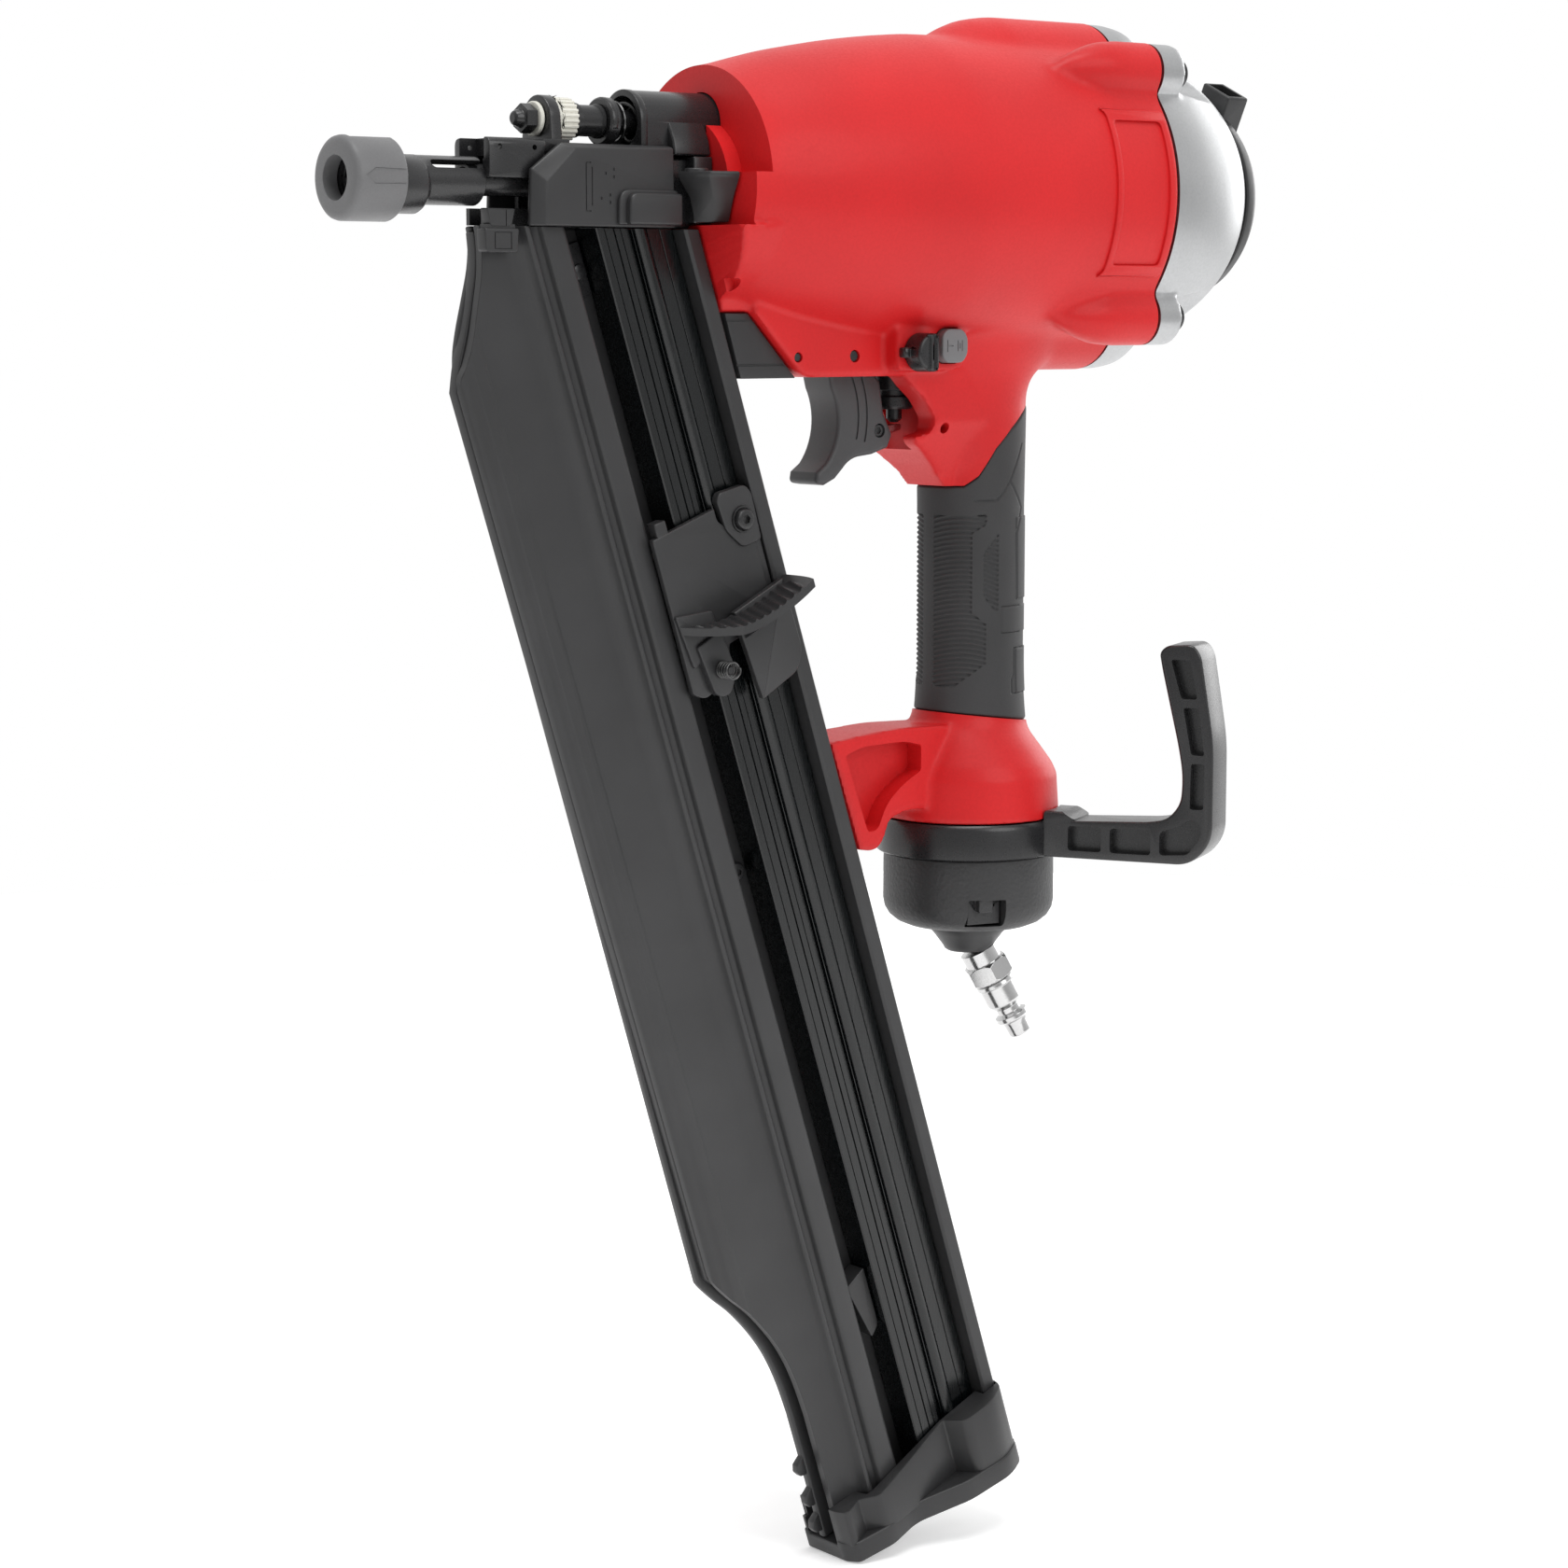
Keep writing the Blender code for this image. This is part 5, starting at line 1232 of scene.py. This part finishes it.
# ---------------------------------------------------------------- base and hook
def build_base():
    """The base cup, the swivel and the air plug."""
    line = (HANDLE_X, 0, 0)
    profile = [(-216.2, 22.8), (-216.2, 28.1), (-216.7, 28.5), (-219, 28.6), (-232.5, 28.7),
               (-235.2, 28.2), (-237.6, 26.8), (-239.6, 24.4), (-241.0, 21.0), (-241.7, 16.5),
               (-241.7, 8.3), (-236, 8.3), (-236, 22.8)]
    turn = Matrix.Translation(line) @ Matrix.Rotation(WINDOW_ANGLE, 4, "Z")
    window = moved(softened(block((-12, -40, -238.6), (0.5, -20.5, -229.4)), 0.6), turn)
    cup = carve(turned(profile, line, (0, 0, 1), 96), cut=[window])
    tab = moved(softened(block((-8.6, -27.2, -233.6), (-3.4, -19.5, -227)), 0.5), turn)
    floor = moved(block((-11.6, -24.5, -237.8), (0.1, -21.6, -229)), turn)
    body = carve(cup, add=[tab, floor])
    piece("base_cup", body, "textured_polymer", nodes=["base_cap"], bevel=0.25)

    swivel = [(-250.6, 3.2), (-250.6, 6.8), (-250.0, 7.8), (-248.6, 8.6), (-244.6, 11.6),
              (-242.6, 13.4), (-242.0, 13.6), (-242.0, 8.0), (-235.7, 8.0), (-235.7, 12),
              (-232, 12), (-232, 3.2)]
    piece("swivel_cone", turned(swivel, line, (0, 0, 1), 72), "black_polymer", body="air_inlet",
          nodes=["air_swivel"], sharp=40)

    tilt = math.radians(27.5)
    turn_z = math.radians(-30.0)
    down = Vector((math.sin(tilt) * math.cos(turn_z), math.sin(tilt) * math.sin(turn_z),
                   -math.cos(tilt)))
    start = Vector((HANDLE_X + 3.4, -1.9, -251.4)) + down * 2.6
    profile = [(-3.4, 2.6), (-3.4, 6.4), (1.6, 6.4), (1.6, 5.8), (8.4, 5.8), (8.8, 6.5),
               (10.0, 6.7), (10.5, 6.1), (16.6, 6.0), (18.2, 4.9), (18.8, 4.1), (20.6, 4.1),
               (21.2, 5.0), (21.6, 5.7), (23.0, 5.8), (23.6, 5.2), (24, 4.3), (25.4, 4.0),
               (28.9, 3.9), (29.5, 3.5), (29.6, 2.9), (29.6, 2.6)]
    nipple = turned(profile, start, down, 64)
    hexagon = turned([(1.4, 3.2), (1.4, 8.2), (8.0, 8.2), (8.0, 3.2)], start, down, 6)
    dome = turned([(-6, 0), (-6, 3), (1.2, 7.0), (2.6, 8.4), (6.8, 8.4), (8.2, 7.0), (12, 3),
                   (12, 0)], start, down, 64)
    hexagon = carve(hexagon, common=[dome])
    piece("quick_plug", joined([nipple, hexagon]), "steel", body="air_inlet",
          nodes=["air_plug"], bevel=0.15)


def build_hook():
    """The belt hook: a pocketed bar bent up from a ring round the base."""
    arm = rounded([(24, -204.2), (66, -202.4), (72, -201.2), (76.4, -196), (77, -187),
                   (75.6, -178), (69.6, -152), (68.6, -146.5), (71, -144.2), (80, -143.6),
                   (82.6, -147), (84.8, -160.6), (87.2, -176), (87.2, -208), (80, -216),
                   (24, -216)],
                  [0, 8, 6, 6, 6, 8, 3, 2.5, 2.5, 3, 3, 8, 6, 9, 6, 0], 8)
    bar = softened(prism(arm, "Y", -8.6, 8.6), 0.9, 4, 60)
    pockets = [([(low, -205.2), (high, -204.9), (high, -213.4), (low, -213.4)], radius)
               for low, high, radius in ((38, 49.5, 2.2 * 0.6), (52.5, 66.5, 2.4 * 0.6))]
    pockets += [([(69.5, -205.6), (76, -203.2), (80.5, -200.5), (83.6, -202.6), (83.4, -207),
                  (79, -212.6), (69.5, -213.2)], 1.6),
                ([(79.6, -197.5), (84.2, -197.5), (84.4, -182.4), (79.9, -182.4)], 1.0),
                ([(79.9, -179.6), (84.3, -179.8), (82.2, -164.2), (77.0, -164.2)], 1.0),
                ([(76.3, -161.4), (81.7, -161.4), (79.2, -148.6), (72.6, -148.6)], 1.2)]
    cuts = []
    for outline, radius in pockets:
        for low, high in ((-12, -4.6), (4.6, 12)):
            cuts.append(prism(rounded(outline, radius), "Y", low, high))
    ring = turned([(-216, 24.4), (-216, 30.4), (-215.6, 30.9), (-206.2, 31.0), (-204.9, 30.6),
                   (-204.3, 30.0), (-204.3, 24.4)], (0, 0, 0), (0, 0, 1), 120)
    lug = softened(prism([(28, -8.6), (40, -8.6), (40, 8.6), (28, 8.6)], "Z", -206, -200.6), 1.2,
                   3)
    slope = prism([(26, -199), (33, -199.0), (41, -203.6), (41, -190), (26, -190)], "Y", -12, 12)
    lug = carve(lug, cut=[slope])
    centre = rod((0, 0, -230), 40, 24.4, (0, 0, 1), 120)
    upper = rod((0, 0, -204.0), 20, 30.9, (0, 0, 1), 120)
    body = carve(ring, add=[bar, lug], cut=[centre, upper] + cuts)
    turn = Matrix.Translation((HANDLE_X, 0, 0)) @ Matrix.Rotation(HOOK_ANGLE, 4, "Z")
    piece("belt_hook", moved(body, turn), "black_steel", body="hook", nodes=["hook"], sharp=40)


# ---------------------------------------------------------------- carried-over pieces
def keep_internals():
    """The CAD pieces that already look right get their finishes."""
    finishes = {"cap_gasket": "seal_rubber",
                "cylinder_sleeve": "cast_aluminium", "sleeve_ring": "seal_rubber",
                "bumper": "seal_rubber", "head_valve_spring": "spring_steel",
                "magazine_liner": "steel", "piston": "cast_aluminium",
                "piston_seal": "seal_rubber", "driver_blade": "steel",
                "head_valve": "black_polymer", "trigger_valve_stem": "black_steel",
                "pusher_roll_spring": "steel"}
    for node, finish in finishes.items():
        keep(node, finish)


# ---------------------------------------------------------------- studio
def studio():
    """A white floor, three soft lamps and the camera."""
    scene = bpy.context.scene
    scene.view_settings.view_transform = "Standard"
    world = bpy.data.worlds.new("studio")
    scene.world = world
    world.use_nodes = True
    tree = world.node_tree
    background = tree.nodes["Background"]
    background.inputs["Strength"].default_value = 1.0
    place = add_node(tree, "ShaderNodeTexCoord")
    along = add_node(tree, "ShaderNodeVectorMath", operation="DOT_PRODUCT")
    along.inputs[1].default_value = (0.63, 0.775, 0.0)
    tree.links.new(place.outputs["Generated"], along.inputs[0])
    level = span(tree, along.outputs["Value"], 0.42, 1.0, -0.75, 0.75)
    tree.links.new(level, background.inputs["Color"])

    mesh = bmesh.new()
    bmesh.ops.create_circle(mesh, cap_ends=True, radius=1.5, segments=128)
    data = bpy.data.meshes.new("floor")
    mesh.to_mesh(data)
    mesh.free()
    floor = bpy.data.objects.new("floor", data)
    scene.collection.objects.link(floor)
    paint = surface("floor_paint", (0.90, 0.90, 0.90), 0.9, mottle=0.002, patch=900,
                    gloss=0.0, grain=30, relief=0.0, specular=0.0)
    shader = paint.node_tree.nodes["Principled BSDF"]
    shader.inputs["Emission Color"].default_value = (1, 1, 1, 1)
    shader.inputs["Emission Strength"].default_value = 0.32
    data.materials.append(paint)

    centre = ORIGIN + Vector((170, 0, -150)) * MM
    lamps = (("key", (0.2, -2.3, 1.3), 1.8, 20.0), ("top", (-0.4, -0.5, 2.5), 1.8, 36.0),
             ("rim", (2.2, 0.3, 0.6), 1.5, 14.0))
    for name, offset, size, power in lamps:
        lamp = bpy.data.lights.new(name, "AREA")
        lamp.shape = "DISK"
        lamp.size = size
        lamp.energy = power
        thing = bpy.data.objects.new(name, lamp)
        thing.location = centre + Vector(offset)
        thing.rotation_euler = (-Vector(offset)).to_track_quat("-Z", "Y").to_euler()
        scene.collection.objects.link(thing)

    lens = bpy.data.cameras.new("view")
    lens.lens = CAMERA_LENS
    lens.sensor_width = 36.0
    lens.clip_start = 0.05
    camera = bpy.data.objects.new("view", lens)
    camera.location = ORIGIN + CAMERA_AT * MM
    forward = Vector((math.cos(CAMERA_DROP) * math.sin(CAMERA_AZIMUTH),
                      math.cos(CAMERA_DROP) * math.cos(CAMERA_AZIMUTH), -math.sin(CAMERA_DROP)))
    camera.rotation_euler = forward.to_track_quat("-Z", "Y").to_euler()
    scene.collection.objects.link(camera)
    scene.camera = camera


build_housing()
build_grip()
build_cap()
build_deflector()
build_trigger()
build_controls()
build_nose()
build_trip()
build_foot()
build_shells()
build_track()
build_end_cap()
build_clip()
build_pusher()
build_thumb()
build_base()
build_hook()
keep_internals()
studio()
